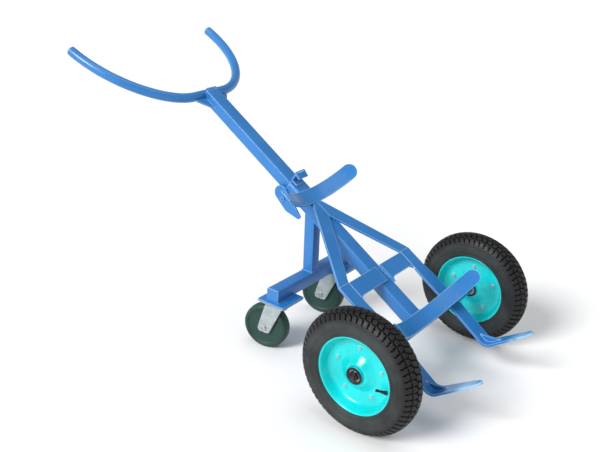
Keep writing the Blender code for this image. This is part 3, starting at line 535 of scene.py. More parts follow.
def soften(outline, radius, closed=True, steps=4):
    """An outline with its corners rounded, each by at most radius along the edges that meet there."""
    found = []
    count = len(outline)
    for index, corner in enumerate(outline):
        if not closed and index in (0, count - 1):
            found.append(tuple(corner))
            continue
        corner = Vector(corner)
        ends = []
        for other in (outline[index - 1], outline[(index + 1) % count]):
            edge = Vector(other) - corner
            ends.append(corner + edge * min(radius / edge.length, 0.45))
        for step in range(steps + 1):
            t = step / steps
            point = ends[0] * (1 - t) ** 2 + corner * (2 * t * (1 - t)) + ends[1] * t * t
            found.append(tuple(point))
    return found


def ring_bands(rings, closed):
    count = len(rings[0])
    faces = []
    last = len(rings) if closed else len(rings) - 1
    for ring in range(last):
        after = (ring + 1) % len(rings)
        for index in range(count):
            along = (index + 1) % count
            low = ring * count
            high = after * count
            faces.append([low + index, low + along, high + along, high + index])
    return faces


def loop(rings):
    """A solid through rings of points that run round and meet."""
    return [tuple(point) for ring in rings for point in ring], ring_bands(rings, closed=True)


def sweep(rings):
    """A solid through rings of points, closed with a face at each end."""
    points = [tuple(point) for ring in rings for point in ring]
    faces = ring_bands(rings, closed=False)
    count = len(rings[0])
    last = count * (len(rings) - 1)
    faces.append(list(range(count)))
    faces.append([last + index for index in range(count)])
    return points, faces


def hollow(outer, inner):
    """A tube between two outer end rings and two inner end rings."""
    points = [tuple(point) for ring in (*outer, *inner) for point in ring]
    count = len(outer[0])
    faces = []
    for index in range(count):
        along = (index + 1) % count
        for first, second in ((0, 1), (2, 3), (0, 2), (1, 3)):
            low = first * count
            high = second * count
            faces.append([low + index, low + along, high + along, high + index])
    return points, faces


def prism(outline, low, high, where):
    """An outline of (u, v) pairs made solid from w = low to w = high; where(u, v, w) gives each point."""
    return sweep([[where(u, v, w) for u, v in outline] for w in (low, high)])


def lathe(profile, sides, facing=1, axis="x"):
    """A closed (along, radius) profile turned about an axis, with end caps if it starts on the axis.

    A facing of -1 mirrors the profile along the axis.
    """
    bored = profile[0][1] > 0
    used = profile if bored else profile[1:-1]
    rings = []
    for step in range(sides):
        angle = (step + 0.5) * 2 * math.pi / sides
        ring = []
        for along, radius in used:
            place = facing * along
            across = radius * math.sin(angle)
            up = radius * math.cos(angle)
            ring.append((place, across, up) if axis == "x" else (across, up, place))
        rings.append(ring)
    points, faces = loop(rings)
    count = len(used)
    if not bored:
        faces = [face for face in faces if face[0] % count != count - 1]
        faces.append([ring * count for ring in range(sides)])
        faces.append([ring * count + count - 1 for ring in range(sides)])
    return points, faces


def circle(centre, side, up, radius, count):
    """Points round a centre, in the plane of two unit vectors."""
    angles = [2 * math.pi * step / count for step in range(count)]
    return [centre + (side * math.cos(angle) + up * math.sin(angle)) * radius for angle in angles]


def bar(stations, thickness):
    """A flat bar through stations of (one edge, other edge, direction of its outer face)."""
    rings = []
    for edge, other, up in stations:
        lift = Vector(up).normalized() * thickness
        rings.append([edge, other, other + lift, edge + lift])
    return sweep(rings)


def on_spine(across, down, out):
    return SPINE_TOP + Vector((across, 0, 0)) + DOWN * down + OUT * out


def across_last(down, out, across):
    return on_spine(across, down, out)


def rectangle(half_width, low, high):
    return [(-half_width, low), (half_width, low), (half_width, high), (-half_width, high)]


def arc(centre, radius, start, end, steps):
    found = []
    for step in range(steps + 1):
        angle = start + (end - start) * step / steps
        found.append((centre[0] + radius * math.cos(angle), centre[1] + radius * math.sin(angle)))
    return found


def smooth_curve(points, steps):
    """A Catmull-Rom curve through (u, v) points."""
    ends = [points[0], *points, points[-1]]
    found = []
    for index in range(1, len(ends) - 2):
        a, b, c, d = [Vector(point) for point in ends[index - 1 : index + 3]]
        bend = 2 * a - 5 * b + 4 * c - d
        twist = 3 * b - a - 3 * c + d
        for step in range(steps):
            t = step / steps
            found.append(0.5 * (2 * b + (c - a) * t + bend * t**2 + twist * t**3))
    found.append(Vector(points[-1]))
    return found


def weld_path(corners, closed):
    """Points at an even pace along straight runs between corners."""
    found = []
    ends = corners[1:] + corners[:1] if closed else corners[1:]
    for start, end in zip(corners, ends):
        count = max(2, int((end - start).length / WELD_PACE))
        found += [start.lerp(end, index / count) for index in range(count)]
    if not closed:
        found.append(corners[-1])
    return found


def weld_bead(corners, radius, closed=False):
    """A rippled bead of weld metal, half sunk in the corner that it runs along."""
    path = weld_path([Vector(corner) for corner in corners], closed)
    last = len(path) - 1
    rings = []
    for index, centre in enumerate(path):
        before = path[index - 1] if closed or index else path[0]
        after = path[(index + 1) % len(path)] if closed else path[min(index + 1, last)]
        along = (after - before).normalized()
        side = along.cross(WELD_TWIST).normalized()
        ripple = 1 + 0.13 * math.cos(index * 1.55) + 0.08 * math.sin(index * 0.37 + centre.x * 90)
        if not closed and index in (0, last):
            ripple = 0.5
        rings.append(circle(centre, side, along.cross(side), radius * ripple, WELD_SIDES))
    return loop(rings) if closed else sweep(rings)


def spine_bead(places, radius):
    """A bead through places on the spine."""
    return weld_bead([on_spine(*place) for place in places], radius)


# -------- frame


def rounded_tube(ring_at, corner):
    """A tube from ring_at(end, inset), which gives a corner outline in the plane of that end."""
    outer = [soften(ring_at(end, 0), corner) for end in (0, 1)]
    inner = [soften(ring_at(end, TUBE_WALL), BORE_CORNER) for end in (0, 1)]
    return hollow(outer, inner)


def make_spine():
    half = SPINE_WIDTH / 2
    ends = (SPINE_START, SPINE_END)

    def ring_at(end, inset):
        ring = rectangle(half - inset, -SPINE_DEPTH + inset, -inset)
        return [on_spine(across, ends[end], out) for across, out in ring]

    stand_in("spine_tube", [rounded_tube(ring_at, TUBE_CORNER)])


def handle_point(across, back):
    run = back * math.cos(HANDLE_SLOPE)
    rise = back * math.sin(HANDLE_SLOPE)
    return Vector((across, HANDLE_Y + run, HANDLE_Z + rise))


def handle_path():
    """The handlebar's middle line from its right end to its left one, as (across, back) pairs."""
    controls = (HANDLE_STRAIGHT, *HANDLE_CONTROL)
    half = [(0.0, HANDLE_STRAIGHT[1])]
    for step in range(HANDLE_STATIONS):
        t = step / (HANDLE_STATIONS - 1)
        weights = ((1 - t) ** 3, 3 * t * (1 - t) ** 2, 3 * t * t * (1 - t), t**3)
        half.append(tuple(sum(w * p[axis] for w, p in zip(weights, controls)) for axis in (0, 1)))
    return [(-across, back) for across, back in reversed(half[1:])] + half


def make_handlebar():
    path = [handle_point(across, back) for across, back in handle_path()]
    up = Vector((0, -math.sin(HANDLE_SLOPE), math.cos(HANDLE_SLOPE)))
    rings = []
    for index, centre in enumerate(path):
        before = path[max(index - 1, 0)]
        after = path[min(index + 1, len(path) - 1)]
        side = (after - before).normalized().cross(up)
        rings.append(circle(centre, side, up, HANDLE_RADIUS, ROUND_SIDES))
    stand_in("handlebar", [sweep(rings)])
    for end, side in SIDES:
        make_handle_plug("handle_plug" + end, side, up)


def make_handle_plug(node, side, up):
    before, end = [handle_point(side * across, back) for across, back in handle_path()[-2:]]
    along = (end - before).normalized()
    across = along.cross(up)
    rings = []
    for ahead, share in PLUG:
        rings.append(circle(end + along * ahead, across, up, HANDLE_RADIUS * share, ROUND_SIDES))
    stand_in(node, [sweep(rings)])


def make_handle_gusset(node, side):
    near = SPINE_WIDTH / 2 + GAP
    outline = soften([(near, 0.0066), (0.078, 0.0066), (0.074, 0.013), (near, 0.062)], 0.003)

    def where(across, down, out):
        return on_spine(side * across, down, out)

    stand_in(node, [prism(outline, GUSSET_OUT, GUSSET_OUT + GUSSET_THICKNESS, where)], bevel=0.0010)


def strap_stations(middle_down, half_length, radius, width):
    """Stations of a strap that bends round a drum, with rounded ends that stop short of a point."""
    half_width = width / 2
    reach = math.asin(half_length / radius)
    nose = half_width / radius
    rounded = []
    for step in range(STRAP_NOSE_STEPS + 1):
        turn = STRAP_BLUNT + (math.pi / 2 - STRAP_BLUNT) * step / STRAP_NOSE_STEPS
        rounded.append((reach - nose * (1 - math.cos(turn)), turn))
    angles = [(-angle, turn) for angle, turn in rounded]
    for step in range(1, STRAP_STEPS):
        angles.append(((reach - nose) * (2 * step / STRAP_STEPS - 1), math.pi / 2))
    angles += reversed(rounded)
    stations = []
    for angle, turn in angles:
        half = half_width * math.sin(turn)
        across = radius * math.sin(angle)
        out = GAP + radius * (1 - math.cos(angle))
        edges = [on_spine(across, middle_down + down, out) for down in (-half, half)]
        stations.append((*edges, OUT * math.cos(angle) - Vector((math.sin(angle), 0, 0))))
    return stations


def make_straps():
    for node, sizes in (("upper_strap", UPPER_STRAP), ("lower_strap", LOWER_STRAP)):
        stand_in(node, [bar(strap_stations(*sizes), BAR_THICKNESS)], **BAR_EDGES)


def toe_bend(steps):
    corner_down = MEMBER_DIP_START + TOE_CORNER * math.cos(MEMBER_DIP)
    corner_out = GAP - TOE_CORNER * math.sin(MEMBER_DIP)
    tangent = TOE_BEND_RADIUS * math.tan((TOE_RISE + MEMBER_DIP) / 2)
    start_down = corner_down - tangent * math.cos(MEMBER_DIP)
    start_out = corner_out + tangent * math.sin(MEMBER_DIP)
    centre_down = start_down + TOE_BEND_RADIUS * math.sin(MEMBER_DIP)
    centre_out = start_out + TOE_BEND_RADIUS * math.cos(MEMBER_DIP)
    found = []
    for step in range(steps + 1):
        angle = -MEMBER_DIP + (TOE_RISE + MEMBER_DIP) * step / steps
        down = centre_down + TOE_BEND_RADIUS * math.sin(angle)
        out = centre_out - TOE_BEND_RADIUS * math.cos(angle)
        found.append((down, out, angle))
    return found


def toe_stations(side):
    """Stations from a member's dip round the toe's bend and on to the rounded tip."""
    inner = FOOT_INNER_X
    outer = FOOT_INNER_X + FOOT_WIDTH
    stations = [(on_spine(0, MEMBER_DIP_START, GAP), inner, outer, OUT)]
    for down, out, angle in toe_bend(16):
        up = OUT * math.cos(angle) - DOWN * math.sin(angle)
        stations.append((on_spine(0, down, out), inner, outer, up))
    middle = stations[-1][0]
    forward = DOWN * math.cos(angle) + OUT * math.sin(angle)
    tangent = TOE_BEND_RADIUS * math.tan((TOE_RISE + MEMBER_DIP) / 2)
    straight = TOE_LENGTH - tangent - TOE_NOSE
    axis = (inner + outer) / 2
    for step in range(TOE_NOSE_STEPS + 1):
        turn = TOE_NOSE_TURN * step / TOE_NOSE_STEPS
        ahead = straight + TOE_NOSE * math.sin(turn) / math.sin(TOE_NOSE_TURN)
        width = TOE_HALF_WIDTH * math.cos(turn) ** 0.8
        stations.append((middle + forward * ahead, axis - width, axis + width, up))
    found = []
    for middle, low, high, up in stations:
        found.append((middle + Vector((side * low, 0, 0)), middle + Vector((side * high, 0, 0)), up))
    return found


def make_side_member(node, side):
    inner = MEMBER_INNER_X
    outer = MEMBER_INNER_X + MEMBER_WIDTH
    start_outer = outer - MEMBER_SPREAD * (MEMBER_BEND - MEMBER_START)
    knee_outer = outer - MEMBER_SPREAD * (MEMBER_BEND - MEMBER_INNER_START)
    rows = [
        (GAP, start_outer, MEMBER_START),
        (GAP, knee_outer, MEMBER_INNER_START),
        (inner, outer, MEMBER_BEND),
        (inner, outer, FOOT_TAPER_START),
        (FOOT_INNER_X, FOOT_INNER_X + FOOT_WIDTH, FOOT_TAPER_END),
    ]
    stations = []
    for low, high, down in rows:
        stations.append((on_spine(side * low, down, GAP), on_spine(side * high, down, GAP), OUT))
    stations += toe_stations(side)
    stand_in(node, [bar(stations, BAR_THICKNESS)], look="member_paint", **BAR_EDGES)


def make_toe_gusset(node, side):
    """A web that stands on the bar's upper face, inside the toe's bend."""
    lift = BAR_THICKNESS + GAP
    seam = []
    for down, out, angle in toe_bend(10):
        seam.append((down - lift * math.sin(angle), out + lift * math.cos(angle)))

    def beyond(point, reach, angle):
        return point[0] + reach * math.cos(angle), point[1] + reach * math.sin(angle)

    back = beyond(seam[0], -TOE_GUSSET_BACK, -MEMBER_DIP)
    outline = [back, *seam, beyond(seam[-1], TOE_GUSSET_AHEAD, TOE_RISE)]
    middle = side * (FOOT_INNER_X + FOOT_WIDTH / 2)
    faces = (middle - TOE_GUSSET_THICKNESS / 2, middle + TOE_GUSSET_THICKNESS / 2)

    stand_in(node, [prism(outline, *faces, across_last)], bevel=0.0008, sharp=45)
    beads = [spine_bead([(face, down, out) for down, out in outline], FINE_BEAD) for face in faces]
    detail(node + "_welds", beads, "frame_paint", "frame")


def make_cross_plate(node, side):
    """A plate welded to the spine and its member. The right one laps over half of the spine's face."""
    near = SPINE_WIDTH / 2 - CROSS_PLATE_LAP[side]
    far = MEMBER_INNER_X - GAP
    top = MEMBER_BEND
    low = top + CROSS_PLATE_DEPTH
    fillet = CROSS_PLATE_FILLET
    outline = [(near, top), (far, top), (far, low + fillet)]
    outline += arc((far - fillet, low + fillet), fillet, 0, -math.pi / 2, 10)[1:]
    if side > 0:
        outline += arc((SPINE_WIDTH / 2 + fillet, low + fillet), fillet, -math.pi / 2, -math.pi, 10)
        outline.append((near, low + fillet))
    else:
        outline.append((near, low))

    def where(across, down, out):
        return on_spine(side * across, down, out)

    stand_in(node, [prism(outline, GAP, GAP + BAR_THICKNESS, where)], **THIN_EDGES)
    seams = (
        ((near, top + 0.003, 0.001), (near, low - 0.003, 0.001), PLATE_BEAD),
        ((far + GAP, top + 0.004, BAR_THICKNESS), (far + GAP, low, BAR_THICKNESS), FINE_BEAD),
        ((far, top, BAR_THICKNESS + GAP), (far + MEMBER_WIDTH, top, BAR_THICKNESS + GAP), FINE_BEAD),
    )
    beads = [weld_bead([where(*start), where(*end)], radius) for start, end, radius in seams]
    detail(node + "_welds", beads, "frame_paint", "frame")


def spine_back(along):
    """The height of the spine's back face at a place along Y."""
    out = -SPINE_DEPTH - GAP
    return SPINE_TOP.z + (out + math.sin(SPINE_SLOPE) * (along - SPINE_TOP.y)) / math.cos(SPINE_SLOPE)


def make_rear_support():
    half = BEAM_SIZE / 2
    middle = BEAM_BOTTOM + half

    def riser_ring(end, inset):
        ring = rectangle(RISER_HALF - inset, BEAM_Y - RISER_HALF + inset, BEAM_Y + RISER_HALF - inset)
        return [Vector((x, y, spine_back(y) if end else BEAM_TOP + GAP)) for x, y in ring]

    def beam_ring(end, inset):
        size = half - inset
        across = (2 * end - 1) * (BEAM_HALF_LENGTH - PLATE_THICKNESS - GAP)
        return [Vector((across, BEAM_Y + y, middle + z)) for y, z in rectangle(size, -size, size)]

    stand_in("riser_tube", [rounded_tube(riser_ring, RISER_CORNER)])
    stand_in("rear_beam", [rounded_tube(beam_ring, TUBE_CORNER)])
    square = rectangle(RISER_HALF, BEAM_Y - RISER_HALF, BEAM_Y + RISER_HALF)
    foot = [(x, y, BEAM_TOP + 0.0008) for x, y in square]
    head = [(x, y, spine_back(y) - 0.0008) for x, y in square]
    beads = [weld_bead(ring, RISER_BEAD, closed=True) for ring in (foot, head)]
    pad_seam = (CASTER_X - PAD_HALF + 0.004, BEAM_HALF_LENGTH - 0.002)
    for side in (-1, 1):
        for edge in (-half, half):
            ends = sorted(side * across for across in pad_seam)
            beads.append(weld_bead([(x, BEAM_Y + edge, BEAM_BOTTOM + 0.0004) for x in ends], TUBE_BEAD))
    detail("rear_support_welds", beads, "frame_paint", "frame")
    for end, side in SIDES:
        outline = soften(rectangle(half, -half, half), TUBE_CORNER)
        faces = sorted((side * BEAM_HALF_LENGTH, side * (BEAM_HALF_LENGTH - PLATE_THICKNESS)))
        cap = prism(outline, *faces, lambda u, v, w: (w, BEAM_Y + u, middle + v))
        stand_in("beam_cap" + end, [cap], **PLATE_EDGES)
        top = BEAM_BOTTOM - GAP
        stand_in("caster_pad" + end, [caster_plate(side, top - PAD_THICKNESS, top, 0.003)], **PLATE_EDGES)


def caster_plate(side, low, high, corner):
    """A square plate above a caster's pivot, from one height to another."""
    outline = soften(rectangle(PAD_HALF, -PAD_HALF, PAD_HALF), corner)
    return prism(outline, low, high, lambda u, v, w: (side * CASTER_X + u, BEAM_Y + v, w))


def make_frame_welds():
    """Seams on the spine, the handlebar and the cross tube."""
    half = SPINE_WIDTH / 2
    beads = []
    for middle, width in (UPPER_STRAP[::3], LOWER_STRAP[::3]):
        top = middle - width / 2
        beads.append(spine_bead([(x, top, 0.0016) for x in (-half, half)], STRAP_BEAD))
    bar_down = (handle_point(0, HANDLE_STRAIGHT[1]) - SPINE_TOP).dot(DOWN)
    beads.append(spine_bead([(x, bar_down, 0.0) for x in (0.003 - half, half - 0.003)], HANDLE_BEAD))
    for side in (-1, 1):
        edge = side * half
        for out in (GUSSET_OUT + GUSSET_THICKNESS, GUSSET_OUT):
            beads.append(spine_bead([(edge, down, out) for down in (0.014, 0.060)], GUSSET_BEAD))
        beads.append(spine_bead([(edge, down, 0.0) for down in (0.572, 0.655)], MEMBER_BEAD))
        for along in (-AXLE_TUBE_RADIUS, AXLE_TUBE_RADIUS):
            down = (SPINE_TOP.y - AXLE_Y - 0.9 * along) / math.cos(SPINE_SLOPE)
            ends = (FOOT_INNER_X + 0.002, FOOT_INNER_X + FOOT_WIDTH - 0.002)
            beads.append(spine_bead([(side * x, down, 0.0) for x in ends], TUBE_BEAD))
    detail("frame_welds", beads, "frame_paint", "frame")


def make_axle():
    centre = (0, AXLE_Y, WHEEL_RADIUS)
    end = WHEEL_X + AXLE_PAST_WHEEL
    shaft = soften([(-end, 0), (-end, AXLE_RADIUS), (end, AXLE_RADIUS), (end, 0)], 0.0012, closed=False)
    stand_in("axle_shaft", [lathe(shaft, SHAFT_SIDES)], look="dark_steel", place=centre)
    end = WHEEL_X - AXLE_TUBE_SHORT
    bore = AXLE_RADIUS + GAP
    tube = [(-end, bore), (-end, AXLE_TUBE_RADIUS), (end, AXLE_TUBE_RADIUS), (end, bore)]
    stand_in("axle_tube", [lathe(soften(tube, 0.0006), TUBE_SIDES)], place=centre)


# -------- wheels


def triangle_wave(value):
    return 4 * abs(value - math.floor(value) - 0.5) - 1


def groove(distance, half_width):
    """1 in the middle of a groove and 0 outside it, with steep walls."""
    share = (half_width - abs(distance)) / (0.45 * half_width)
    share = min(max(share, 0.0), 1.0)
    return share * share * (3 - 2 * share)


def lateral(phase, half_width):
    return groove(phase - math.floor(phase) - 0.5, half_width)


def tread_depth(across, turns):
    """How deep the tread is cut, from 0 to 1. across is measured round the section from its crown."""
    pitch = turns * TREAD_PITCHES
    size = abs(across)
    sign = 1 if across > 0 else -1
    wave = triangle_wave(pitch)
    ring = groove(size - INNER_GROOVE - 0.0022 * wave, 0.0020)
    ring = max(ring, 0.9 * groove(size - OUTER_GROOVE - 0.0014 * triangle_wave(pitch + 0.5), 0.0019))
    if size < INNER_GROOVE:
        cross = 0.8 * lateral(pitch + across * 18, 0.11)
    elif size < OUTER_GROOVE:
        cross = lateral(pitch + 0.3 + sign * 0.2 + size * 14, 0.12)
    else:
        fade = min(max((TREAD_EDGE - size) / 0.004, 0.0), 1.0)
        cross = fade * lateral(pitch + 0.1 + size * 8, 0.13)
        ring = min(ring, fade)
    return max(ring, cross)


def make_tyre(node, centre):
    """A tyre with blocks cut into its crown, moulding rings on its flanks and an open inside."""
    crown = smooth_curve(TYRE_CROWN, 12)
    section = crown + smooth_curve(TYRE_FLANK, 3)[1:] + [Vector(point) for point in TYRE_INSIDE]
    half = []
    length = 0.0
    for index, point in enumerate(section):
        run = section[min(index + 1, len(section) - 1)] - section[max(index - 1, 0)]
        normal = Vector((-run.y, run.x)).normalized() if index else Vector((0, 1))
        length += (point - section[index - 1]).length if index else 0.0
        half.append((point, normal, length if index < len(crown) else None))
    whole = [(*entry, 1) for entry in half] + [(*entry, -1) for entry in reversed(half[1:])]
    steps = TREAD_PITCHES * 10
    rings = []
    for step in range(steps):
        turns = step / steps
        angle = turns * 2 * math.pi
        ring = []
        for point, normal, length, sign in whole:
            depth = 0.0 if length is None else TREAD_DEPTH * tread_depth(sign * length, turns)
            along, radius = point - normal * depth
            ring.append((sign * along, radius * math.sin(angle), radius * math.cos(angle)))
        rings.append(ring)
    stand_in(node, [loop(rings)], place=centre, sharp=50)


def make_valve(end, side, centre):
    """A rubber valve stem that leans in from the rim's well, with a dark metal cap."""
    out = Vector((0, math.cos(VALVE_ANGLE), math.sin(VALVE_ANGLE)))
    across = Vector((side, 0, 0))
    sideways = across.cross(out)
    start = out * VALVE_START[0] + across * VALVE_START[1]
    lean = out * VALVE_LEAN[0] + across * VALVE_LEAN[1]
    lift = lean.normalized().cross(sideways)
    parts = (
        ("valve_stem", VALVE_STEM, "tyre_rubber", "seal_rubber"),
        ("valve_cap", VALVE_CAP, "bare_steel", "dark_steel"),
    )
    for name, profile, slot, look in parts:
        rings = []
        for share, radius in profile:
            rings.append(circle(start + lean * share, sideways, lift, radius, VALVE_SIDES))
        detail(name + end, [sweep(rings)], slot, "wheel" + end, look=look, place=centre, bevel=0.0004)


def make_wheel(end, side):
    centre = (side * WHEEL_X, AXLE_Y, WHEEL_RADIUS)
    wheel = "wheel" + end
    turned = (
        ("rim_outer", RIM, WHEEL_SIDES, 0.006, side),
        ("rim_inner", RIM, WHEEL_SIDES, 0.006, -side),
        ("hub_tube", HUB_TUBE, HUB_SIDES, 0.0008, side),
        ("bearing_outer", BEARING, HUB_SIDES, 0.0005, side),
        ("bearing_inner", BEARING, HUB_SIDES, 0.0005, -side),
    )
    make_tyre("tyre" + end, centre)
    for name, profile, sides, corner, facing in turned:
        stand_in(name + end, [lathe(soften(profile, corner), sides, facing)], place=centre)
    nut = lathe(AXLE_NUT, HEXAGON, side)
    stand_in("axle_nut" + end, [nut], look="dark_steel", place=centre, bevel=0.0009)
    for inboard, facing in (("outer", side), ("inner", -side)):
        ring = lathe(soften(HUB_SEAL, 0.0004), TUBE_SIDES, facing)
        detail(f"hub_seal_{inboard}{end}", [ring], "tyre_rubber", wheel, look="seal_rubber", place=centre)
    washers = []
    for number in range(BOLT_COUNT):
        angle = FIRST_BOLT_ANGLE + 2 * math.pi * number / BOLT_COUNT
        offset = Vector((0, BOLT_CIRCLE * math.cos(angle), BOLT_CIRCLE * math.sin(angle)))
        place = tuple(Vector(centre) + offset)
        bolt = lathe(RIM_BOLT, HEXAGON, side)
        stand_in(f"rim_bolt_{number + 1}{end}", [bolt], place=place, bevel=0.0007)
        for facing in (-1, 1):
            washers.append(shifted(lathe(soften(BOLT_WASHER, 0.0003), WASHER_SIDES, facing), offset))
    detail("bolt_washers" + end, washers, "zinc_plate", wheel, look="rim_paint", place=centre)
    make_valve(end, side, centre)


# -------- casters


def make_caster(end, side):
    pivot = Vector((side * CASTER_X, BEAM_Y, 0))
    axle = Vector((math.cos(CASTER_SWIVEL), math.sin(CASTER_SWIVEL), 0))
    trail = Vector((-math.sin(CASTER_SWIVEL), math.cos(CASTER_SWIVEL), 0))
    outside = LEG_INNER + LEG_THICKNESS
    top = BEAM_BOTTOM - PAD_THICKNESS - 2 * GAP
    plate = caster_plate(side, top - PLATE_THICKNESS, top, 0.006)
    stand_in("caster_plate" + end, [plate], bevel=0.0006, sharp=50)

    def local(back, height, across):
        return axle * across + trail * back + Vector((0, 0, height))

    def upright(profile, corner, sides):
        return lathe(soften(profile, corner, closed=False), sides, axis="z")

    crown = [(CROWN_BACK, CROWN_BOTTOM), (CROWN_FRONT, CROWN_BOTTOM)]
    crown += [(CROWN_FRONT, CROWN_HIGH), (CROWN_BACK, CROWN_HIGH)]
    race = [(RACE_LOW, 0), (RACE_LOW, CROWN_RADIUS), (RACE_SHOULDER, CROWN_RADIUS)]
    race += [(CROWN_TOP, CROWN_RADIUS - 0.003), (CROWN_TOP, 0)]
    shapes = [prism(soften(crown, 0.0015), -outside, outside, local), upright(race, 0.0022, HUB_SIDES)]
    for low in (-outside, LEG_INNER):
        shapes.append(prism(soften(LEG, 0.004), low, low + LEG_THICKNESS, local))
    stand_in("caster_fork" + end, shapes, place=tuple(pivot), **THIN_EDGES)
    neck = CROWN_BOTTOM - GAP
    pin = [(KINGPIN_LOW, 0), (KINGPIN_LOW, NUT_RADIUS), (neck, NUT_RADIUS)]
    pin += [(neck, KINGPIN_RADIUS), (top - GAP, KINGPIN_RADIUS), (top - GAP, 0)]
    stand_in("kingpin" + end, [upright(pin, 0.0008, PIN_SIDES)], place=tuple(pivot))
    hub = tuple(pivot + trail * CASTER_TRAIL + Vector((0, 0, CASTER_RADIUS)))
    whole = [*CASTER_WHEEL, *((-along, radius) for along, radius in reversed(CASTER_WHEEL))]
    wheel = lathe(soften(whole, 0.0028), CASTER_SIDES)
    stand_in("caster_wheel" + end, [wheel], place=hub, turn=CASTER_SWIVEL)
    start = outside + GAP
    tip = start + CASTER_AXLE_TIP
    shank = [(-start, 0), (-start, CASTER_AXLE_RADIUS), (tip, CASTER_AXLE_RADIUS), (tip, 0)]
    nut = [(start, 0), (start, NUT_RADIUS), (start + NUT_HEIGHT, NUT_RADIUS), (start + NUT_HEIGHT, 0)]
    thread = lathe(soften(shank, 0.0010, closed=False), PIN_SIDES)
    shapes = [thread, lathe(nut, HEXAGON, -1), lathe(nut, HEXAGON)]
    stand_in("caster_axle" + end, shapes, look="bare_steel", place=hub, turn=CASTER_SWIVEL, bevel=0.0007)


# -------- hook and lever


def make_hook():
    inner = SPINE_WIDTH / 2 + SLIDE_GAP
    face = SLIDE_GAP + SLEEVE_WALL

    def sleeve_rings(grow, corner):
        ring = rectangle(inner + grow, -SPINE_DEPTH - SLIDE_GAP - grow, SLIDE_GAP + grow)
        ends = (HOOK_TOP, HOOK_BOTTOM)
        return [soften([on_spine(across, down, out) for across, out in ring], corner) for down in ends]

    low = SLIDE_GAP + 0.0005
    rise = low + HOOK_THICKNESS
    web_low = WEB_DOWN + HOOK_THICKNESS
    web_foot = HOOK_TOP + 0.020
    web_out = HOOK_REACH - 0.003
    web = [(WEB_DOWN, low), (web_foot, low), (web_foot, rise)]
    web += [(web_low, rise), (web_low, web_out), (WEB_DOWN, web_out)]
    lip_low = WEB_DOWN + HOOK_LIP
    lip_top = WEB_DOWN - 0.0002
    lip_out = HOOK_REACH - HOOK_LIP_FALL
    lip = [(lip_top, HOOK_REACH), (lip_low, lip_out)]
    lip += [(lip_low - 0.0018, lip_out - HOOK_THICKNESS), (lip_top, HOOK_REACH - HOOK_THICKNESS)]
    back = -SPINE_DEPTH - SLIDE_GAP - SLEEVE_WALL / 2
    ear = [(HOOK_TOP + 0.001, -0.001), (HOOK_BOTTOM - 0.001, -0.001), (HOOK_BOTTOM - 0.001, back)]
    ear += [(LEVER_DOWN + down, LEVER_OUT + out) for down, out in EAR_NOSE]
    ear.append((HOOK_TOP + 0.001, back))
    shapes = [hollow(sleeve_rings(SLEEVE_WALL, 0.004), sleeve_rings(0, 0.0012))]
    shapes.append(prism(web, -WEB_HALF_WIDTH, WEB_HALF_WIDTH, across_last))
    shapes.append(prism(lip, -LIP_HALF_WIDTH, LIP_HALF_WIDTH, across_last))
    near = inner + SLEEVE_WALL / 2
    for start in (-near - EAR_THICKNESS, near):
        shapes.append(prism(soften(ear, 0.004), start, start + EAR_THICKNESS, across_last))
    stand_in("drum_hook", shapes, **PLATE_EDGES)
    seams = [[(x, WEB_DOWN + 0.0065, HOOK_REACH - HOOK_THICKNESS) for x in (-0.017, 0.017)]]
    seams.append([(x, HOOK_TOP, face) for x in (-0.026, -0.019)])
    for side in (-1, 1):
        seams.append([(side * WEB_HALF_WIDTH, down, face) for down in (HOOK_TOP + 0.001, web_foot)])
        seams.append([(side * (inner + SLEEVE_WALL), HOOK_TOP + 0.0012, out) for out in (-0.006, back)])
    detail("hook_welds", [spine_bead(seam, FINE_BEAD) for seam in seams], "frame_paint", "hook")


def turns_right(first, second, third):
    ahead = (second[0] - first[0], second[1] - first[1])
    after = (third[0] - first[0], third[1] - first[1])
    return ahead[0] * after[1] - ahead[1] * after[0] < 1e-9


def convex_hull(points):
    ordered = sorted(points)
    chains = []
    for run in (ordered, list(reversed(ordered))):
        chain = []
        for point in run:
            while len(chain) > 1 and turns_right(chain[-2], chain[-1], point):
                chain.pop()
            chain.append(point)
        chains.append(chain[:-1])
    return chains[0] + chains[1]


def make_lever():
    place = on_spine(0, LEVER_DOWN, LEVER_OUT)
    ear = SPINE_WIDTH / 2 + SLIDE_GAP + SLEEVE_WALL / 2 + EAR_THICKNESS
    outer = -ear - 0.001 - LEVER_THICKNESS
    points = []
    for down, out, radius in LEVER_DISCS:
        points += arc((down, out), radius, 0, 2 * math.pi * 71 / 72, 71)

    def where(down, out, across):
        return on_spine(across, down, out) - place

    plate = prism(convex_hull(points), outer, outer + LEVER_THICKNESS, where)
    stand_in("cam_lever", [plate], place=tuple(place), bevel=0.0011, sharp=50)
    shaft = []
    runs = (
        (outer - GAP - 0.004, outer - GAP, CAM_HEAD_RADIUS),
        (outer - GAP, -CAM_HALF_LENGTH, CAM_SHAFT_RADIUS),
        (-CAM_HALF_LENGTH, CAM_HALF_LENGTH, CAM_RADIUS),
        (CAM_HALF_LENGTH, ear + 0.001, CAM_SHAFT_RADIUS),
        (ear + 0.001, ear + 0.005, CAM_HEAD_RADIUS),
    )
    for start, end, radius in runs:
        shaft += [(start, radius), (end, radius)]
    shaft = [(runs[0][0], 0), *shaft, (runs[-1][1], 0)]
    shape = lathe(soften(shaft, 0.0008, closed=False), SHAFT_SIDES)
    stand_in("cam_shaft", [shape], look="frame_paint", place=tuple(place))


# -------- stage


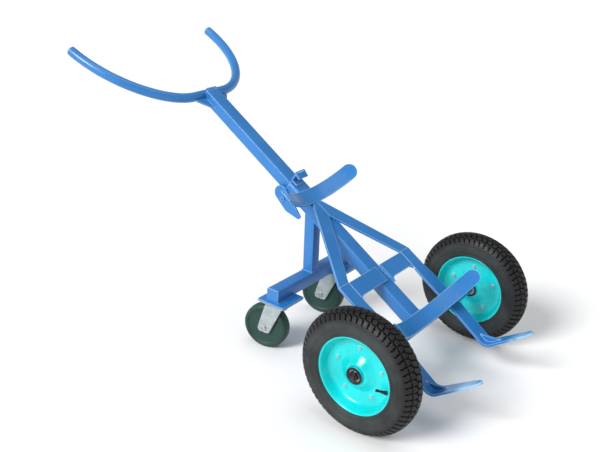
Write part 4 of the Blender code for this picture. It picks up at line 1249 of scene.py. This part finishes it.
def make_stage():
    bpy.ops.mesh.primitive_plane_add(size=60, location=(0, 0, 0))
    floor = bpy.context.object
    floor.name = "floor"
    floor.data.materials.append(plain_floor("pale_floor"))
    world = bpy.data.worlds.new("studio")
    world.use_nodes = True
    tree = world.node_tree
    height = add_node(tree, "SeparateXYZ", "Z", {"Vector": add_node(tree, "TexCoord", "Generated")})
    limits = {"From Min": HORIZON_LOW, "From Max": HORIZON_HIGH, "To Min": HORIZON_STRENGTH}
    strength = add_node(tree, "MapRange", "Result", {"Value": height, **limits, "To Max": SKY_STRENGTH})
    fill(tree, tree.nodes["Background"], {"Color": SKY_COLOUR, "Strength": strength})
    bpy.context.scene.world = world
    for name, toward, power, width in LIGHTS:
        data = bpy.data.lights.new(name, "SUN")
        data.energy = power
        data.angle = math.radians(width)
        lamp = bpy.data.objects.new(name, data)
        lamp.location = Vector(toward) * 5
        lamp.rotation_euler = Vector(toward).to_track_quat("Z", "Y").to_euler()
        bpy.context.scene.collection.objects.link(lamp)
    bpy.context.scene.view_settings.view_transform = "Standard"


def make_camera():
    data = bpy.data.cameras.new("camera")
    data.lens = CAMERA_LENS
    data.sensor_width = 36
    camera = bpy.data.objects.new("camera", data)
    back = CAMERA_BACK.normalized()
    level = Vector((0, 0, 1)).cross(back).normalized()
    upright = back.cross(level)
    right = level * math.cos(CAMERA_ROLL) + upright * math.sin(CAMERA_ROLL)
    up = back.cross(right)
    turn = Matrix((right, up, back)).transposed()
    camera.matrix_world = Matrix.Translation(CAMERA_PLACE) @ turn.to_4x4()
    bpy.context.scene.collection.objects.link(camera)
    bpy.context.scene.camera = camera


make_stage()
make_camera()
make_spine()
make_handlebar()
make_straps()
make_rear_support()
make_axle()
make_frame_welds()
for END, SIDE in SIDES:
    make_handle_gusset("handle_gusset" + END, SIDE)
    make_side_member("side_member" + END, SIDE)
    make_cross_plate("cross_plate" + END, SIDE)
    make_toe_gusset("toe_gusset" + END, SIDE)
    make_wheel(END, SIDE)
    make_caster(END, SIDE)
make_hook()
make_lever()
